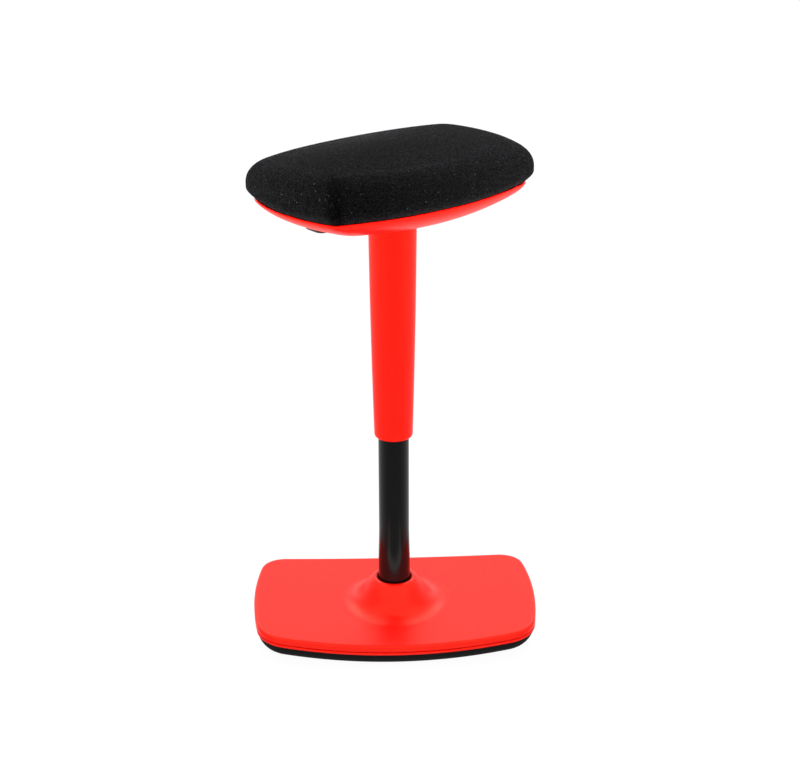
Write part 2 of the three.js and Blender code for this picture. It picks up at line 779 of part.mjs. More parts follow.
// Half profile of the upholstery from the tuck up to the crown, as [inset, height] pairs
function padSide(offset, shares, turns) {
  const side = shares.map((share) => [pad.tuck * (1 - share) ** 2 + offset, padSeam + pad.belly * share]);
  const round = turns.map((degrees) => {
    const turn = THREE.MathUtils.degToRad(degrees);
    const rise = pad.roundDown - offset;
    const inset = offset + (pad.roundIn - offset) * (1 - Math.cos(turn));
    return [inset, padSeam + pad.height - pad.roundDown + rise * Math.sin(turn)];
  });
  return [...side, ...round];
}
function padRing(inset, height) {
  return ringAt(outlinePoints(pad.outline, inset, padFacets, pad.innerCorner), height);
}
function crownRings(offset, shares) {
  const rim = outlinePoints(pad.outline, pad.roundIn, padFacets, pad.innerCorner);
  const top = padSeam + pad.height - offset;
  return shares.map((share) => ringAt(scaledPoints(rim, share), top + pad.crown * (1 - share ** 2)));
}
function crownPoint(offset) {
  return new THREE.Vector3(0, 0, padSeam + pad.height + pad.crown - offset);
}

// Woven cover: it goes over the foam, is drawn in at the shell's rim and folds under the board
function padCoverGeometry() {
  const foldTop = boardBottom - gap;
  const foldBottom = foldTop - pad.fabric;
  const drawnIn = pad.tuck + pad.fabric + 2 * gap;
  const rings = [
    ...crownRings(0, crownShares),
    ...padSide(0, bellyShares, padTurns).reverse().map(([i, z]) => padRing(i, z)),
    padRing(pad.tuck, padSeam),
    padRing(drawnIn, padSeam - pad.fabric),
    padRing(drawnIn + 2 * pad.fabric, foldBottom),
    padRing(pad.foldInset, foldBottom),
    padRing(pad.foldInset, foldTop),
    padRing(board.inset - pad.fabric, foldTop),
    padRing(drawnIn + pad.fabric + gap, padSeam - pad.fabric),
    ...padSide(pad.fabric, innerBellyShares, innerPadTurns).map(([i, z]) => padRing(i, z)),
  ];
  return loft(rings, crownPoint(0), crownPoint(pad.fabric));
}

// Moulded foam: it lies on the board and laps over the board's edge
function padFoamGeometry() {
  const skin = pad.fabric + gap;
  const rings = [
    ...padSide(skin, innerBellyShares, innerPadTurns).reverse().map(([i, z]) => padRing(i, z)),
    padRing(pad.tuck + 2 * skin, padSeam),
    padRing(board.inset - gap, padSeam),
    padRing(board.inset - gap, boardTop + gap),
    padRing(pad.foldInset, boardTop + gap),
  ];
  return loft(rings, crownPoint(skin), new THREE.Vector3(0, 0, boardTop + gap));
}

function boardGeometry() {
  const points = outlinePoints(pad.outline, board.inset, padFacets, pad.innerCorner);
  const holes = [
    ...plateBoltPlaces.map(([x, y]) => ({ x, y, radius: teeNut.barrel + gap })),
    ...shellPlaces.map(([x, y]) => ({ x, y, radius: shellScrew.shank + gap })),
  ];
  const sheet = extruded(points, holes, board.thickness);
  const sinkBottom = board.thickness - teeNut.flangeThickness - gap;
  const sinks = plateBoltPlaces.map(([x, y]) =>
    upright(teeNut.flange + gap, sinkBottom, board.thickness + overrun, x, y, screwFacets));
  return cut(sheet, sinks);
}

// Tee nut: its flange is sunk in the board's top face, its barrel goes down into the board
function teeNutGeometry() {
  const bore = plateBolt.shank + gap;
  return turned([
    [bore, -teeNut.barrelLength],
    [teeNut.barrel, -teeNut.barrelLength],
    [teeNut.barrel, 0],
    [teeNut.flange, 0],
    [teeNut.flange, teeNut.flangeThickness],
    [bore, teeNut.flangeThickness],
  ], screwFacets);
}

// Seat shell: the rim follows the pad, and the sides run as a superellipse to a smaller flat bottom
function shellSideRings(offset, turns) {
  const rim = outlinePoints(pad.outline, shell.rimInset + offset, baseFacets);
  const rimX = pad.outline.halfWidth - shell.rimInset - offset;
  const rimY = pad.outline.halfDepth - shell.rimInset - offset;
  const bottom = rim.map((p) => {
    const ellipse = new THREE.Vector2(p.x / rimX, p.y / rimY).normalize();
    const square = new THREE.Vector2(p.x / rimX, p.y / rimY);
    return ellipse.lerp(square, shell.squareShare)
      .multiply(new THREE.Vector2(shell.bottomHalfWidth, shell.bottomHalfDepth));
  });
  const power = 2 / shell.fullness;
  return turns.map((degrees) => {
    const turn = THREE.MathUtils.degToRad(degrees);
    const share = 1 - Math.max(0, Math.cos(turn)) ** power;
    const height = shellRim - gap - (shell.depth - gap - offset) * Math.sin(turn) ** power;
    return ringAt(blendedPoints(rim, bottom, degrees === 90 ? 1 : share), height);
  });
}
function shellGeometry() {
  const outer = shellSideRings(0, shellTurns);
  const inner = shellSideRings(shell.wall, innerShellTurns);
  const midRim = outlinePoints(pad.outline, shell.rimInset + shell.wall / 2, baseFacets);
  const rings = [...inner, ringAt(midRim, shellRim), ...outer];
  const dish = loft(rings, new THREE.Vector3(0, 0, shellFloor), new THREE.Vector3(0, 0, shellBottom));
  const posts = shellPlaces.map(([x, y]) =>
    upright(shellPost.radius, shellFloor - gap, boardBottom - gap, x, y, screwFacets));
  const tools = [
    upright(spigot.radius + gap, shellBottom - overrun, shellFloor + overrun, 0, 0, roundFacets),
    ...shellPlaces.map(([x, y]) => upright(
      shellScrew.head + 2 * gap, shellBottom - overrun, shellPostSeat(), x, y, screwFacets)),
    ...shellPlaces.map(([x, y]) => upright(
      shellScrew.shank + gap, shellBottom - overrun, boardBottom + overrun, x, y, screwFacets)),
    leverSlot(shell.leverSlotStart, shell.leverSlotLength, shell.leverSlotHalfWidth, shellBottom, shellFloor),
  ];
  return cut(joined(dish, posts), tools);
}
function shellPostSeat() {
  return boardBottom - gap - shellPost.web;
}

// Slot that lets the release lever through, turned with the lever
function leverSlot(start, length, halfWidth, bottom, top) {
  const box = block(
    new THREE.Vector3(-start - length, -halfWidth, bottom - overrun),
    new THREE.Vector3(-start, halfWidth, top + overrun),
  );
  return box.rotateZ(-THREE.MathUtils.degToRad(lever.turnDegrees));
}

// Column sleeve: a slightly bowed taper with a rolled lower lip and a grooved spigot at the top
function sleeveGeometry() {
  const bottom = sleeveTop - sleeve.length;
  const middle = (sleeve.rimRadius + sleeve.topRadius) / 2 + sleeve.bow;
  const curve = new THREE.QuadraticBezierCurve(
    new THREE.Vector2(sleeve.rimRadius, bottom + sleeve.lipUp),
    new THREE.Vector2(middle, (bottom + sleeveTop) / 2),
    new THREE.Vector2(sleeve.topRadius, sleeveTop),
  );
  const wallPoints = curve.getPoints(5).map((p) => [p.x, p.y]);
  const innerWall = curve.getPoints(2).map((p) => [p.x - sleeve.wall, p.y]).reverse();
  innerWall[0] = [innerWall[0][0], sleeveTop - sleeve.wall];
  const grooveBottom = shellFloor;
  const grooveTop = grooveBottom + spigot.ringThickness + 2 * gap;
  const spigotBore = sleeve.topRadius - sleeve.wall - sleeve.wall;
  return turned([
    [sleeve.rimRadius - sleeve.lipIn, bottom],
    [sleeve.rimRadius - sleeve.lipIn / 3, bottom + sleeve.lipUp / 3],
    ...wallPoints,
    [spigot.radius, sleeveTop],
    [spigot.radius, grooveBottom],
    [spigot.radius - spigot.groove, grooveBottom],
    [spigot.radius - spigot.groove, grooveTop],
    [spigot.radius, grooveTop],
    [spigot.radius, sleeveTop + spigot.height],
    [spigotBore, sleeveTop + spigot.height],
    [spigotBore, sleeveTop - sleeve.wall],
    ...innerWall,
    [sleeve.rimRadius - sleeve.wall, bottom],
  ]);
}

// Seat plate: a pressed steel dish with a flange under the board, ears for the lever and its slot
function seatPlateGeometry() {
  const at = (inset, height) =>
    ringAt(outlinePoints(seatPlate.outline, inset, smallFacets, seatPlate.thickness), height);
  const wallTop = seatPlate.flange;
  const wallFoot = seatPlate.flange + seatPlate.slope;
  const floorTop = plateFloor + seatPlate.thickness;
  const rings = [
    at(wallFoot, floorTop),
    at(wallTop, plateTop),
    at(0, plateTop),
    at(0, plateTop - seatPlate.thickness),
    at(wallTop - seatPlate.thickness, plateTop - seatPlate.thickness),
    at(wallFoot - seatPlate.thickness, plateFloor),
  ];
  const dish = loft(rings, new THREE.Vector3(0, 0, floorTop), new THREE.Vector3(0, 0, plateFloor));
  const earInner = lever.halfWidth + gap;
  const ears = [earInner, -earInner - lever.ear].map((y) => block(
    new THREE.Vector3(-lever.pivot - lever.earHalfLength, y, plateFloor + seatPlate.thickness / 2),
    new THREE.Vector3(-lever.pivot + lever.earHalfLength, y + lever.ear, leverCentre + lever.hub),
  ).rotateZ(-THREE.MathUtils.degToRad(lever.turnDegrees)));
  const pivotBore = crosswise(
    lever.pivotRadius + gap, -earInner - lever.ear - overrun, earInner + lever.ear + overrun,
    -lever.pivot, leverCentre, screwFacets).rotateZ(-THREE.MathUtils.degToRad(lever.turnDegrees));
  const slotStart = seatPlate.outline.halfWidth - wallFoot - overrun;
  const slotLength = seatPlate.slope + 3 * overrun;
  const slotHalfWidth = lever.halfWidth + (2 * seatPlate.thickness) / 3;
  const flangeBottom = plateTop - seatPlate.thickness;
  const tools = [
    pivotBore,
    upright(socketRadius() + gap, plateFloor - overrun, floorTop + overrun),
    leverSlot(slotStart, slotLength, slotHalfWidth, plateFloor, leverUnderside - overrun),
    ...plateBoltPlaces.map(([x, y]) =>
      upright(plateBolt.shank + gap, flangeBottom - overrun, plateTop + overrun, x, y, screwFacets)),
  ];
  return cut(joined(dish, ears), tools);
}

// Taper socket: a steel sleeve whose bore follows the gas spring's tapered end
function socketRadius() {
  return gasSpring.radius + gap + socket.wall;
}
function socketGeometry() {
  const taperStart = springTop - gasSpring.taperLength;
  const flangeBottom = plateFloor + seatPlate.thickness + gap;
  const top = springTop - gasSpring.chamfer;
  const taperAtTop = gasSpring.radius - gasSpring.taper + gap;
  return turned([
    [gasSpring.radius + gap, taperStart - socket.skirt],
    [socketRadius(), taperStart - socket.skirt],
    [socketRadius(), flangeBottom],
    [socket.flange, flangeBottom],
    [socket.flange, flangeBottom + socket.flangeThickness],
    [socketRadius(), flangeBottom + socket.flangeThickness],
    [socketRadius(), top],
    [taperAtTop, top],
    [gasSpring.radius + gap, taperStart],
  ], boreFacets);
}

// Release lever: a bar stamped in two bends, extruded across its width, with a hub at its pivot
function leverGeometry() {
  const centre = [
    new THREE.Vector2(lever.nose, 0),
    new THREE.Vector2(-lever.bendInner, 0),
    new THREE.Vector2(-lever.bendOuter, -lever.drop),
    new THREE.Vector2(-lever.end, -lever.drop),
  ];
  const shape = new THREE.Shape([
    ...offsetLine(centre, lever.thickness / 2),
    ...offsetLine(centre, -lever.thickness / 2).reverse(),
  ]);
  const options = { depth: 2 * lever.halfWidth, bevelEnabled: false };
  const bar = welded(new THREE.ExtrudeGeometry(shape, options)
    .rotateX(Math.PI / 2).translate(0, lever.halfWidth, leverCentre));
  const pivotHub = crosswise(
    lever.hub, -lever.halfWidth, lever.halfWidth, -lever.pivot, leverCentre, screwFacets);
  const bore = crosswise(
    lever.pivotRadius + gap, -lever.halfWidth - overrun, lever.halfWidth + overrun,
    -lever.pivot, leverCentre, screwFacets);
  return cut(joined(bar, [pivotHub]), [bore]);
}

// Polyline moved sideways, with mitred corners
function offsetLine(points, distance) {
  return points.map((point, i) => {
    const before = points[Math.max(i - 1, 0)];
    const after = points[Math.min(i + 1, points.length - 1)];
    const into = (i > 0 ? point.clone().sub(before) : after.clone().sub(point)).normalize();
    const out = (i < points.length - 1 ? after.clone().sub(point) : into.clone()).normalize();
    const normalIn = new THREE.Vector2(-into.y, into.x);
    const mitre = normalIn.clone().add(new THREE.Vector2(-out.y, out.x)).normalize();
    return point.clone().addScaledVector(mitre, distance / mitre.dot(normalIn));
  });
}

function pivotPinGeometry() {
  const half = lever.halfWidth + gap + lever.ear + gap;
  const pin = crosswise(lever.pivotRadius, -half, half, -lever.pivot, leverCentre, screwFacets);
  const head = crosswise(
    lever.pinHead, half, half + lever.pinHeadHeight, -lever.pivot, leverCentre, screwFacets);
  const neck = crosswise(
    lever.pivotRadius, half - gap, half + lever.pinHeadHeight / 2, -lever.pivot, leverCentre, screwFacets);
  return joined(pin, [joined(head, [neck])]);
}

// Paddle: a rounded pad that encloses the lever's end and rises a little outwards
function paddleGeometry() {
  const barCentre = leverCentre - lever.drop;
  const bottom = barCentre - lever.thickness / 2 - gap - paddle.below;
  const rise = (x) => (paddle.edgeRise * (paddle.outline.halfWidth - x)) / (2 * paddle.outline.halfWidth);
  const ring = (inset, height) =>
    ringAt(outlinePoints(paddle.outline, inset, smallFacets), (p) => bottom + height + rise(p.x));
  const rings = [
    ring(paddle.edge + paddle.crest, 0),
    ring(paddle.edge / 3, paddle.edge / 3),
    ring(0, paddle.edge),
    ring(0, paddle.height - paddle.edge),
    ring(paddle.edge / 3, paddle.height - paddle.edge / 3),
    ring(paddle.edge + paddle.crest, paddle.height),
  ];
  const middle = paddle.edgeRise / 2;
  const body = loft(
    rings,
    new THREE.Vector3(0, 0, bottom + middle),
    new THREE.Vector3(0, 0, bottom + paddle.height + paddle.crest + middle),
  ).translate(paddle.x, paddle.y, 0);
  const pocket = block(
    new THREE.Vector3(-lever.end - gap, -lever.halfWidth - gap, barCentre - lever.thickness / 2 - gap),
    new THREE.Vector3(-lever.bendOuter, lever.halfWidth + gap, barCentre + lever.thickness / 2 + gap),
  ).rotateZ(-THREE.MathUtils.degToRad(lever.turnDegrees));
  return cut(body, [pocket]);
}

// Scene graph
function add(group, name, geometry, finish, x = 0, y = 0, z = 0) {
  geometry.computeVertexNormals();
  const mesh = new THREE.Mesh(geometry, finish);
  mesh.name = name;
  mesh.position.set(x, y, z);
  group.add(mesh);
}
function addSet(group, name, places, geometry, finish, heightOf) {
  places.forEach(([x, y], i) => add(group, `${name}_${i + 1}`, geometry, finish, x, y, heightOf(x)));
}

function buildBase() {
  const group = new THREE.Group();
  add(group, 'sole', soleGeometry(), blackRubber);
  add(group, 'base_pan', basePanGeometry(), redPlastic);
  add(group, 'base_cover', baseCoverGeometry(), redPlastic);
  add(group, 'ballast_plate', ballastGeometry(), zincSteel, 0, 0, ballast.bottom);
  add(group, 'column_hub', hubGeometry(), blackSteel, 0, 0, hubBottom);
  add(group, 'stand_tube', standTubeGeometry(), blackSteel, 0, 0, hubFloor + gap);
  add(group, 'guide_bush', bushGeometry(), greyPlastic, 0, 0, tube.top);
  const lowerWasher = washerGeometry(rod.tail + gap, bearing.radius, bearing.washer);
  add(group, 'bearing_lower_washer', lowerWasher, brightSteel, 0, 0, lowerWasherBottom);
  add(group, 'bearing_ball_cage', ballCageGeometry(), brightSteel, 0, 0, ballCentre);
  addSet(group, 'cover_screw', coverPlaces, screwGeometry(coverScrew), zincSteel,
    (x) => coverPostTop(x) - coverPost.web - gap);
  addSet(group, 'ballast_screw', ballastPlaces, screwGeometry(ballastScrew), zincSteel,
    () => ballastPostTop - ballastPost.web - gap);
  const boltDown = boltGeometry(hubBolt).rotateX(Math.PI);
  addSet(group, 'hub_bolt', hubBoltPlaces, boltDown, zincSteel, () => hubFloor + gap);
  return group;
}

function buildSpindle() {
  const group = new THREE.Group();
  add(group, 'piston_rod', rodGeometry(), brightSteel);
  add(group, 'piston', pistonGeometry(), brightSteel, 0, 0, pistonBottom);
  const upperWasher = washerGeometry(rod.tail + gap, bearing.radius, bearing.washer);
  add(group, 'bearing_upper_washer', upperWasher, brightSteel, 0, 0, upperWasherBottom);
  add(group, 'bump_stop', bumpStopGeometry(), blackRubber, 0, 0, rodShoulder);
  const rodWasher = washerGeometry(rod.tail + gap, clip.washer, clip.washerThickness);
  add(group, 'rod_washer', rodWasher, zincSteel, 0, 0, hubBottom - gap - clip.washerThickness);
  const rodClip = openRingGeometry(rod.groove + gap, clip.radius, clip.thickness, clip.mouth);
  add(group, 'rod_clip', rodClip, zincSteel, 0, 0, clipTop - clip.thickness);
  return group;
}

function buildLever() {
  const group = new THREE.Group();
  add(group, 'lever_arm', leverGeometry(), zincSteel);
  add(group, 'lever_pivot_pin', pivotPinGeometry(), zincSteel);
  return group;
}

function buildSeat() {
  const group = new THREE.Group();
  add(group, 'gas_spring', gasSpringGeometry(), blackSteel, 0, 0, springBottom);
  add(group, 'rod_guide', rodGuideGeometry(), blackPlastic, 0, 0, guideBottom);
  add(group, 'release_pin', releasePinGeometry(), brightSteel);
  add(group, 'taper_socket', socketGeometry(), zincSteel);
  add(group, 'seat_plate', seatPlateGeometry(), blackSteel);
  add(group, 'seat_board', boardGeometry(), plywood, 0, 0, boardBottom);
  add(group, 'pad_foam', padFoamGeometry(), foam);
  add(group, 'pad_cover', padCoverGeometry(), wool);
  add(group, 'seat_shell', shellGeometry(), redPlastic);
  add(group, 'column_sleeve', sleeveGeometry(), redPlastic);
  const ringBore = spigot.radius - spigot.groove + gap;
  const sleeveRing = openRingGeometry(
    ringBore, ringBore + spigot.ringWidth, spigot.ringThickness, spigot.ringMouth, roundFacets);
  add(group, 'sleeve_ring', sleeveRing, zincSteel, 0, 0, shellFloor + gap);
  addSet(group, 'tee_nut', plateBoltPlaces, teeNutGeometry(), zincSteel,
    () => boardTop - teeNut.flangeThickness);
  addSet(group, 'plate_bolt', plateBoltPlaces, boltGeometry(plateBolt), zincSteel,
    () => plateTop - seatPlate.thickness - gap);
  addSet(group, 'shell_screw', shellPlaces, screwGeometry(shellScrew), zincSteel,
    () => shellPostSeat() - gap);
  const leverGroup = buildLever();
  leverGroup.rotation.z = -THREE.MathUtils.degToRad(lever.turnDegrees);
  group.add(leverGroup);
  add(group, 'lever_paddle', paddleGeometry(), blackPlastic);
  return group;
}

const stool = new THREE.Group();
const seatGroup = buildSeat();
seatGroup.rotation.z = THREE.MathUtils.degToRad(seatTurnDegrees);
stool.add(buildBase(), buildSpindle(), seatGroup);

export default stool;
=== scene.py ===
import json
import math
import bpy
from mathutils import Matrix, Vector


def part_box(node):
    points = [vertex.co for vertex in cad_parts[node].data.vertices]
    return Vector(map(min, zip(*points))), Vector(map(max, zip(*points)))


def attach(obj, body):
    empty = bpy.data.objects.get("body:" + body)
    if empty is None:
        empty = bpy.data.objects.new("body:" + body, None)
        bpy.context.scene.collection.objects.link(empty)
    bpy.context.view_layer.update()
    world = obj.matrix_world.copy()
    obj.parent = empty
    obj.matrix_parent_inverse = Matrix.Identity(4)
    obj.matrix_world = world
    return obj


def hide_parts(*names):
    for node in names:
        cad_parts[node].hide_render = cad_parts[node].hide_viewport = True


bl_info = {
    "name": "Wobble Stool",
    "version": (1, 0, 0),
    "blender": (4, 5, 0),
    "location": "View3D > Sidebar > Stool",
    "description": "Models and finishes a height-adjustable wobble stool over its CAD frame",
    "category": "Object",
}

import bmesh
import bpy
from bpy.props import FloatProperty, FloatVectorProperty, IntProperty, PointerProperty
from mathutils import Matrix, Vector

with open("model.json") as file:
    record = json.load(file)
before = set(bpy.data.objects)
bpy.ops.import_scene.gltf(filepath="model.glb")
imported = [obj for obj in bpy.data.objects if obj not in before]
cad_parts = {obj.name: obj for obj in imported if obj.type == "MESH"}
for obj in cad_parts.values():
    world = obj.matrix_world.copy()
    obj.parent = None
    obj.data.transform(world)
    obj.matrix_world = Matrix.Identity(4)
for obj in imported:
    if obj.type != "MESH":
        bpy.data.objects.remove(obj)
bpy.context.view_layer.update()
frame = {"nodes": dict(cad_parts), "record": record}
CAD_NODES = frame["nodes"]

# One millimetre, for the small sizes that are written as so many millimetres
MM = 0.001

# Gap between pieces that touch
CLEARANCE = 0.3 * MM

# Boxes of the CAD pieces that the modelled ones fit
PAN_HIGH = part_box("base_pan")[1]
COVER_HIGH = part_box("base_cover")[1]
SHELL_LOW, SHELL_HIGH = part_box("seat_shell")
SLEEVE_LOW, SLEEVE_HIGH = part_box("column_sleeve")
TUBE_LOW, TUBE_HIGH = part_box("stand_tube")
BOARD_LOW, BOARD_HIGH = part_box("seat_board")
PADDLE_LOW, PADDLE_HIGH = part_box("lever_paddle")
LEVER_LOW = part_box("lever_arm")[0]

# Screws from below: how thick their head is, and the radius of their shank
HEAD_HEIGHTS = {"cover_screw": 2.6 * MM, "ballast_screw": 2.8 * MM}
SHANK_RADII = {"cover_screw": 2 * MM, "ballast_screw": 3 * MM}

# Posts of the pan: their radius, and the thickness of the web that the head is screwed up against
PAN_POSTS = {"cover_screw": (7 * MM, 3 * MM), "ballast_screw": (9 * MM, 3.2 * MM)}

# Bosses of the cover: their radius, and the radius of the pilot hole and its depth past the screw
COVER_BOSS = 5.5 * MM
COVER_PILOT = 2.3 * MM
PILOT_TIP = 1 * MM

# Posts of the seat shell: their radius, the radii of the bores for head and shank, and the web between
SHELL_POST = 6.5 * MM
SHELL_HEAD_BORE = 4.6 * MM
SHELL_SHANK_BORE = 2.3 * MM
SHELL_WEB = 3 * MM

# Where rings lie across the sole and the pan, as shares of the way out
DOME_SHARES = [0.25, 0.4, 0.55, 0.7, 0.85, 1.0]

# Where the studio's reflection changes, from straight down at 0 to straight up at 1, and its level there
STUDIO_HEIGHTS = (
    (0, 0.8), (0.22, 0.65), (0.3, 0.47), (0.45, 0.45), (0.53, 0.95), (0.61, 1.0), (0.68, 0.62), (0.74, 0.8),
    (0.8, 0.9), (0.87, 0.2), (0.92, 0),
)

# Directions of the studio's reflection, as parts of a vector of length 1: along Y from the dark front to
# the pale back, along Z from the walls to the ceiling, and how much sooner the ceiling starts at the front
FRONT_TO_BACK = (-0.75, 0.7)
CEILING_EDGE = (0.5, 0.88)
FRONT_CEILING = 0.4

# Lamps: where they stand, the point that they are aimed at, and their size. The last two stand on both sides.
OVERHEAD_LAMP = ((0, 0.5, 3.2), (0, 0, 0.4), (2.6, 1.8))
NEAR_FLOOR_LAMP = ((0, -0.23, 0.002), (0, -0.23, 1), (0.52, 0.12))
SIDE_LAMP = ((2.6, 0.3, 0.78), (0, 0, 0.78), (1.6, 0.3))
PANEL_LAMP = ((0.9, 1.95, 1.95), (0, 0, 0.05), (1.1, 0.8))

# The floor: its colour as it lights the stool, and its dark coat and own light as the camera sees it
FLOOR_COLOUR = (0.85, 0.85, 0.85, 1)
FLOOR_COAT = (0.07, 0.07, 0.07, 1)
FLOOR_GLOW = 0.955

# Frames over which the cloth settles
SETTLING_FRAMES = 20


def length(name, description, default):
    """A size in metres that a user can change."""
    return FloatProperty(
        name=name, description=description, default=default, unit="LENGTH", subtype="DISTANCE", precision=4
    )


def angle(name, description, degrees):
    """An angle that a user can change."""
    return FloatProperty(
        name=name, description=description, default=math.radians(degrees), unit="ROTATION", subtype="ANGLE"
    )


def share(name, description, default):
    """A share from 0 to 1 that a user can change."""
    return FloatProperty(
        name=name, description=description, default=default, min=0.0, max=1.0, subtype="FACTOR"
    )


def strength(name, description, default):
    """A light level or power that a user can change."""
    return FloatProperty(name=name, description=description, default=default, min=0.0)


def colour(name, description, default):
    """A linear colour that a user can change."""
    return FloatVectorProperty(
        name=name, description=description, default=default, size=3, min=0.0, max=1.0, subtype="COLOR"
    )


class StoolOutlineSettings(bpy.types.PropertyGroup):
    """Rounded rectangle with bowed sides: half sizes, and the radii of its sides and corners."""

    half_width: length("Half width", "From the middle to a short side", PAN_HIGH.x)
    half_depth: length("Half depth", "From the middle to a long side", PAN_HIGH.y)
    long_arc: length("Long side radius", "Radius that the long sides bow along", 1.197)
    short_arc: length("Short side radius", "Radius that the short sides bow along", 0.583)
    corner: length("Corner radius", "Radius that joins the sides", 0.0506)


class StoolBaseSettings(bpy.types.PropertyGroup):
    """Sizes of the rocking base."""

    outline: PointerProperty(type=StoolOutlineSettings, name="Outline", description="Plan of the base")
    end_lift: length("End lift", "How far the short ends rise over the middle", 0.0164)
    top: length("Top", "Height of the top face in the middle", 0.043)
    seam: length("Seam", "Height of the cover's lower edge", 0.032)
    seam_gap: length("Seam gap", "Width of the groove between cover and pan", 0.0017)
    tongue: length("Tongue", "How far the pan's inner edge stands up behind the groove", 0.0035)
    lip_bottom: length("Lip bottom", "Height of the pan's lower edge", 0.026)
    wall: length("Wall", "Thickness of the two mouldings", 0.003)
    edge_round: length("Edge rounding", "Radius of the top edge", 0.0054)
    groove_round: length("Groove rounding", "Radius of the edges at the groove", 0.0012)
    collar_bore: length("Collar bore", "Radius of the hole round the column", 0.0288)
    bore_depth: length("Bore depth", "How far the bore reaches down", 0.016)
    collar_rim: length("Collar rim", "Width of the collar's rounded rim", 0.0085)
    collar_lip: length("Collar lip", "Height of the rounding of the rim", 0.0028)
    collar_height: length("Collar height", "Height of the collar's rim", COVER_HIGH.z)
    collar_flare: length("Collar flare", "How far the flank flares out", 0.0505)
    neck_out: length("Neck out", "How far out the flank keeps the slope of the rim", 0.021)
    neck_down: length("Neck down", "How far down the flank keeps the slope of the rim", 0.0206)
    foot_in: length("Foot in", "How far in the flank keeps the slope of the foot", 0.0330)
    foot_up: length("Foot up", "How far up the flank keeps the slope of the foot", 0.0050)
    sole_skin: length("Sole thickness", "Thickness of the rubber sole", 0.004)
    sole_inset: length("Sole inset", "How far the sole's upper edge lies inside the pan's", 0.0012)
    turn_inset: length("Turn inset", "Inset of the corner that the sole turns in by", 0.0075)
    dome_inset: length("Dome inset", "How far the dome's edge lies inside the outline", 0.028)
    dome_rise: length("Dome rise", "How far the sole rises from the foot patch to its edge", 0.0022)
    foot_share: share("Foot patch", "Share of the dome that is flat on the floor", 0.2)


class StoolColumnSettings(bpy.types.PropertyGroup):
    """Sizes of the stand tube and of the sleeve that slides over it."""

    tube_radius: length("Tube radius", "Outside of the stand tube", 0.025)
    tube_wall: length("Tube wall", "Thickness of the stand tube", 0.002)
    bell_radius: length("Bell radius", "Outside of the tube's foot", TUBE_HIGH.x)
    bell_top: length("Bell top", "Height at which the foot starts to narrow", 0.115)
    neck: length("Neck", "Height from which the tube is straight", 0.185)
    sleeve_rim: length("Sleeve rim radius", "Outside of the sleeve at its lower rim", 0.03145)
    sleeve_top: length("Sleeve top radius", "Outside of the sleeve under the seat", SLEEVE_HIGH.x)
    sleeve_bow: length("Sleeve bow", "How far the sleeve's side bulges", 0.00187)
    sleeve_wall: length("Sleeve wall", "Thickness of the sleeve", 0.0025)
    lip: length("Lower lip", "Height of the rounding at the sleeve's rim", 0.005)
    lip_in: length("Lip inset", "How far the rounding draws the rim in", 0.002)
    inner_lip: length("Inner lip", "Height of the bevel inside the rim", 0.0005)
    spigot: length("Spigot radius", "Radius of the neck that stands up through the shell", 0.0352)
    spigot_floor: length("Spigot floor", "Height of the snap groove over the shell's underside", 0.003)
    ring_groove: length("Ring groove", "Radius at the bottom of the snap groove", 0.034)
    ring_width: length("Ring width", "Height of the snap groove", 0.0032)


class StoolSeatSettings(bpy.types.PropertyGroup):
    """Sizes of the seat shell and its upholstery, in the seat's own directions."""

    outline: PointerProperty(type=StoolOutlineSettings, name="Outline", description="Plan of the pad")
    turn: angle("Turn", "How far the seat is turned on the column", 37.5)
    seam: length("Seam", "Height at which the pad meets the shell", SHELL_HIGH.z + 0.0002)
    pad_height: length("Pad height", "From the seam to the top of the pad's edge", 0.0627)
    tuck: length("Tuck", "How far the pad is drawn in at the seam", 0.0157)
    belly: length("Belly", "Height over which the pad swells out", 0.0186)
    round_in: length("Rounding width", "Width of the pad's upper rounding", 0.047)
    round_down: length("Rounding height", "Height of the pad's upper rounding", 0.0375)
    crown: length("Crown", "Rise of the pad's top towards the middle", 0.006)
    end_rise: length("End rise", "How much higher the top's short ends are", 0.0018)
    end_lift: length("End lift", "How much higher the belly bulges at the short ends", 0.0015)
    side_drop: length("Side drop", "How much lower the top's long sides are", 0.0027)
    inner_corner: length("Inner corner", "Tightest corner of the outlines inside the pad's own", 0.034)
    fabric: length("Fabric", "Thickness of the cover", 0.0015)
    fold: length("Fold", "How far the cover reaches in under the board", 0.05)
    seam_band: length("Seam band", "Height over the seam in which the cover is held", 0.002)
    swell: length("Swell", "Most that the stuffing may push a point of the cover", 0.0015)
    rim_inset: length("Shell rim inset", "How far the shell's rim lies inside the pad", 0.012)
    shell_wall: length("Shell wall", "Thickness of the shell", 0.003)
    bottom_width: length("Shell bottom half width", "Half width of the shell's flat bottom", 0.105)
    bottom_depth: length("Shell bottom half depth", "Half depth of the shell's flat bottom", 0.081)
    squareness: share("Squareness", "From an oval shell bottom at 0 to one like the rim at 1", 0.62)
    fullness: FloatProperty(
        name="Fullness", description="Exponent of the shell's side curve", default=1.62, min=1.0, max=4.0
    )
    sleeve_hole: length("Sleeve hole", "Radius of the hole for the sleeve's neck", 0.0355)
    slot_length: length("Slot length", "Length of the lever's slot", 0.032)
    slot_width: length("Slot width", "Width of the lever's slot", 0.018)
    slot_start: length("Slot start", "From the column to the lever's slot", 0.060)
    board_inset: length("Board inset", "How far the board's edge lies inside the pad's outline", 0.024)


